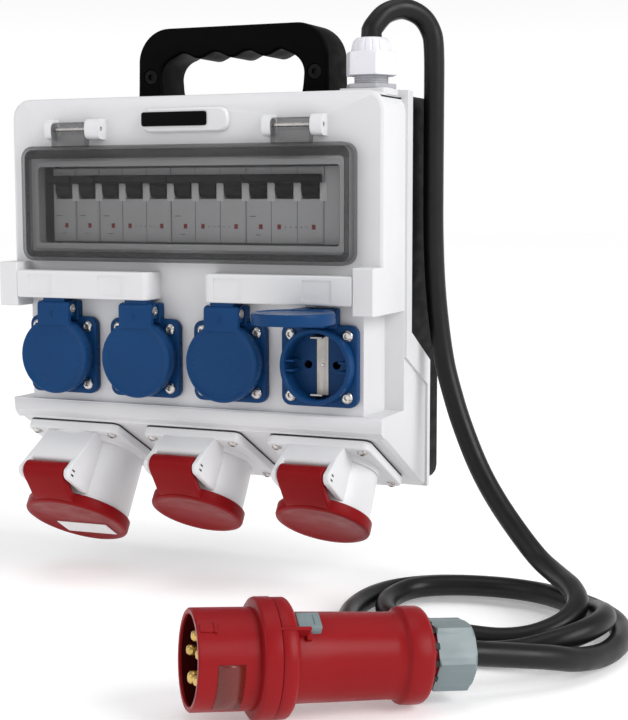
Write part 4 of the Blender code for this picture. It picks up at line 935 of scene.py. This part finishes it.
def frame_turn(node, hinge):
    """The turn that takes a closed lid to where its CAD node rests."""
    low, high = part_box(node)
    open_lid = high.z - low.z < high.y - low.y
    angle = -math.pi / 2 if open_lid else 0.0
    return Matrix.Translation(hinge) @ Matrix.Rotation(angle, 4, "X") @ Matrix.Translation(-hinge)


# Near-black for the pin holes and the ear slots: painted shade where they recede.
HOLE_SHADE = moulded("hole_painted_shade", (0.004, 0.004, 0.005), 0.6, 0.1)
make_outlets()


# ------------------------ angled outlets
POWER_SIZES = ((0.0353, 0.0600, 0.0045),
               (0.0307, 0.0482, 0.0022),
               (0.0307, 0.0482, 0.0022))
HOOD_HALF_WIDTH = 0.0193
TONGUE_HALF_WIDTH = 0.0149


def make_power_outlets():
    screws, gaskets = [], []
    slope = math.radians(29.0)
    normal = Vector((0.0, -math.sin(slope), -math.cos(slope)))
    down = Vector((0.0, math.cos(slope), -math.sin(slope)))
    for number, (radius, face, offset) in enumerate(POWER_SIZES, start=1):
        seat = MOUNTS[f"cee_seat_{number}"]
        outward = Vector(seat["axis"]).normalized()
        upward = outward.cross(X_AXIS) * -1.0
        if upward.z < 0:
            upward = -upward
        lid_back = face - 0.008
        mouth = lid_back + 0.002
        core = mouth - 0.012
        origin = Vector(seat["pos_m"]) - outward * core
        place = frame_of(origin, upward, outward)
        flange_place = frame_of(origin - down * offset, -down, normal)
        body_radius = radius - 0.0025
        hinge_out, hinge_height = radius + 0.015, face - 0.015
        hood_end = hinge_height - 0.0080

        flange = slab([rounded_rectangle((-0.035, 0.035), (-0.035, 0.035), 0.005, 8)], "Z",
                      0.0010, 0.0070, 0.0012, 3)
        turned(flange, flange_place)
        seal = slab([rounded_rectangle((-0.0346, 0.0346), (-0.0346, 0.0346), 0.005, 8)], "Z",
                    0.0003, 0.0011)
        gaskets.append(turned(seal, flange_place))
        foot = turned(loft(((0.0065, ring_of(body_radius + 0.0022)), (0.0080, ring_of(body_radius + 0.0012)),
                            (0.0100, ring_of(body_radius + 0.0006))), 96), flange_place)
        barrel = lathe([(body_radius - 0.0004, 0.004), (body_radius + 0.0002, mouth - 0.010),
                        (body_radius, mouth - 0.001), (body_radius - 0.0010, mouth),
                        (body_radius - 0.0024, mouth), (body_radius - 0.0028, mouth - 0.0006),
                        (body_radius - 0.0028, mouth - 0.030), (0.0, mouth - 0.030), (0.0, 0.004)], 96,
                       closed=False)
        turned(barrel, place)
        core_radius = body_radius - 0.0085
        spots = contact_ring(core_radius * 0.62, 0.0, 0.0033, 0.0027)
        holes = [arc((cx, cy), r, 360, 0, 24)[:-1] for cx, cy, r in spots]
        insert = merge(slab([arc((0, 0), core_radius, 0, 360, 64)[:-1], *holes], "Z", core - 0.002, core),
                       lathe([(core_radius, core - 0.030), (core_radius, core - 0.0002),
                              (core_radius - 0.0008, core - 0.0002),
                              (core_radius - 0.0008, core - 0.030)], 64),
                       *[moved(lathe([(0.0, core - 0.018), (r + 0.0004, core - 0.018),
                                      (r + 0.0004, core - 0.001), (r, core - 0.001), (r, core - 0.0175),
                                      (0.0, core - 0.0175)], 24, closed=False), cx, cy, 0.0)
                         for cx, cy, r in spots])
        make(f"cee_insert_{number}", insert, INSERT_GREY, "case", place,
             (f"cee_contact_carrier_{number}",), 30.0)
        hood = slab([[(0.018, 0.005), (0.0342, 0.0055), (hinge_out - 0.0012, hood_end - 0.0045),
                      *arc((hinge_out - 0.0040, hood_end - 0.0030), 0.0030, 0, 90, 5),
                      (0.018, hood_end)]], "X", -HOOD_HALF_WIDTH, HOOD_HALF_WIDTH, 0.0014, 4)
        turned(hood, place)
        ears, slots = [], []
        for side in (-1, 1):
            x_range = sorted((side * (HOOD_HALF_WIDTH + 0.0001), side * (TONGUE_HALF_WIDTH + 0.0003)))
            shape = [(0.019, 0.0062), (0.0340, 0.0062), (hinge_out - 0.0015, hood_end - 0.0045),
                     *arc((hinge_out, hinge_height), 0.0052, 0, 95, 12), (0.019, hinge_height + 0.0056)]
            ears.append(turned(slab([shape], "X", *x_range, 0.0012, 4), place))
            # Dark patches just proud of each ear's outer face stand for the hinge slots: painted shade.
            for step in (-1, 1):
                x_range = sorted((side * (HOOD_HALF_WIDTH - 0.0006), side * (HOOD_HALF_WIDTH + 0.0002)))
                low = hinge_height + step * 0.0016 - 0.0007
                slots.append(box(x_range, (hinge_out - 0.0022, hinge_out + 0.0014), (low, low + 0.0014),
                                 0.0002, 1))
        make(f"cee_socket_{number}_skin", merge(flange, foot, barrel, hood, *ears), SOCKET_WHITE, "case",
             replaces=(f"cee_socket_{number}",), smooth=32.0)
        make(f"cee_ear_slot_shade_{number}", turned(merge(*slots), place), HOLE_SHADE, "case")
        for dx in (-0.02925, 0.02925):
            for dy in (-0.02925, 0.02925):
                screws.append(turned(pan_screw(0.0033, 0.0022, 0.0013),
                                     flange_place @ Matrix.Translation((dx, dy, 0.0069))))
        make_power_lid(number, place, radius, face, lid_back, mouth, hinge_out, hinge_height)
    make("cee_flange_screws", merge(*screws), STEEL, "case", smooth=40.0)
    make("cee_flange_gaskets", merge(*gaskets), RUBBER, "case", smooth=30.0)


def make_power_lid(number, place, radius, face, lid_back, mouth, hinge_out, hinge_height):
    edge = 0.0016
    disc = lathe([(0.0, face - 0.0004), (radius - 0.0052, face - 0.0004), (radius - 0.0044, face),
                  (radius - edge, face), (radius - edge * 0.3, face - edge * 0.35), (radius, face - edge),
                  (radius, lid_back + 0.0006), (radius - 0.0006, lid_back), (radius - 0.0018, lid_back),
                  (radius - 0.0020, mouth + 0.0004), (0.0, mouth + 0.0004)], 128, closed=False)
    tongue = slab([[(radius - 0.0040, lid_back + 0.0005), (radius - 0.0040, face - 0.0010),
                    (radius + 0.0010, face - 0.0016), (radius + 0.0055, face - 0.0038),
                    (hinge_out + 0.0025, hinge_height + 0.0062),
                    *arc((hinge_out, hinge_height), 0.0066, 40, -130, 24),
                    (hinge_out - 0.0062, hinge_height - 0.001), (hinge_out - 0.0040, hinge_height + 0.0030),
                    (radius + 0.0008, lid_back + 0.0005)]],
                  "X", -TONGUE_HALF_WIDTH, TONGUE_HALF_WIDTH, 0.0012, 4)
    trunnion = rod((0.001 - HOOD_HALF_WIDTH, hinge_out, hinge_height),
                   (HOOD_HALF_WIDTH - 0.001, hinge_out, hinge_height), 0.0013, segments=24)
    thumb = slab([[(-0.0095, -radius + 0.0006), (-0.0070, -radius - 0.0018), (0.0070, -radius - 0.0018),
                   (0.0095, -radius + 0.0006)]], "Z", lid_back + 0.0012, face - 0.0014, 0.0006, 2)
    body = f"cee_lid_{number}"
    make(f"{body}_skin", merge(disc, tongue, trunnion, thumb), RED, body, place, (body,), 32.0)
    if number == 1:
        label = slab([rounded_rectangle((-0.0195, 0.0195), (-0.0085, 0.0085), 0.0006, 3)], "Z",
                     face - 0.0004, face)
        make("lid_label_blank", label, STICKER, body,
             place @ Matrix.Translation((0.002, -0.012, 0.0002)) @ about_z(2.0))


INSERT_GREY = moulded("insert_dark", (0.03, 0.03, 0.032), 0.45, 0.1)
make_power_outlets()


# ------------------------ floor, light and world
def make_stage():
    material, nodes, links, shader = new_material("floor_pale")
    cloud = object_noise(nodes, links, 3.0)
    links.new(ramp(nodes, links, cloud.outputs["Fac"], (0.90, 0.90, 0.90), (0.92, 0.92, 0.92)),
              shader.inputs["Base Color"])
    shader.inputs["Roughness"].default_value = 0.9
    shader.inputs["Specular IOR Level"].default_value = 0.1
    shader.inputs["Emission Color"].default_value = (1.0, 1.0, 1.0, 1.0)
    shader.inputs["Emission Strength"].default_value = 0.28
    mesh = bpy.data.meshes.new("floor")
    bm = bmesh.new()
    bmesh.ops.create_grid(bm, x_segments=8, y_segments=8, size=9.0)
    bm.to_mesh(mesh)
    bm.free()
    mesh.materials.append(material)
    floor = show("floor", mesh)
    floor.location = (0.0, 0.0, FLOOR_Z - 0.0004)


def area_light(name, location, target, size, power):
    data = bpy.data.lights.new(name, "AREA")
    data.shape = "RECTANGLE"
    data.size, data.size_y = size
    data.energy = power
    light = show(name, data)
    light.location = location
    light.rotation_euler = (Vector(target) - Vector(location)).to_track_quat("-Z", "Y").to_euler()


def make_lights():
    world = bpy.data.worlds.new("studio")
    bpy.context.scene.world = world
    world.use_nodes = True
    nodes, links = world.node_tree.nodes, world.node_tree.links
    background = nodes["Background"]
    coordinates = nodes.new("ShaderNodeTexCoord")
    split = nodes.new("ShaderNodeSeparateXYZ")
    links.new(coordinates.outputs["Generated"], split.inputs["Vector"])
    shade = nodes.new("ShaderNodeValToRGB")
    shade.color_ramp.elements[0].position = 0.10
    shade.color_ramp.elements[0].color = (1.0, 1.0, 1.0, 1.0)
    shade.color_ramp.elements[1].position = 0.45
    shade.color_ramp.elements[1].color = (0.42, 0.42, 0.43, 1.0)
    links.new(split.outputs["Z"], shade.inputs["Fac"])
    links.new(shade.outputs["Color"], background.inputs["Color"])
    background.inputs["Strength"].default_value = 1.0
    sun = bpy.data.lights.new("key", "SUN")
    sun.energy = 1.9
    sun.angle = math.radians(35.0)
    key = show("key", sun)
    key.rotation_euler = (-Vector((0.84, -0.16, 0.52))).to_track_quat("-Z", "Y").to_euler()
    area_light("fill", (-1.2, -1.9, 1.1), (0.0, -0.05, 0.0), (1.6, 1.2), 7.0)
    area_light("top", (0.1, -0.2, 2.3), (0.0, -0.1, 0.0), (2.0, 1.6), 12.0)
    bpy.context.scene.view_settings.view_transform = "Standard"


make_stage()
make_lights()
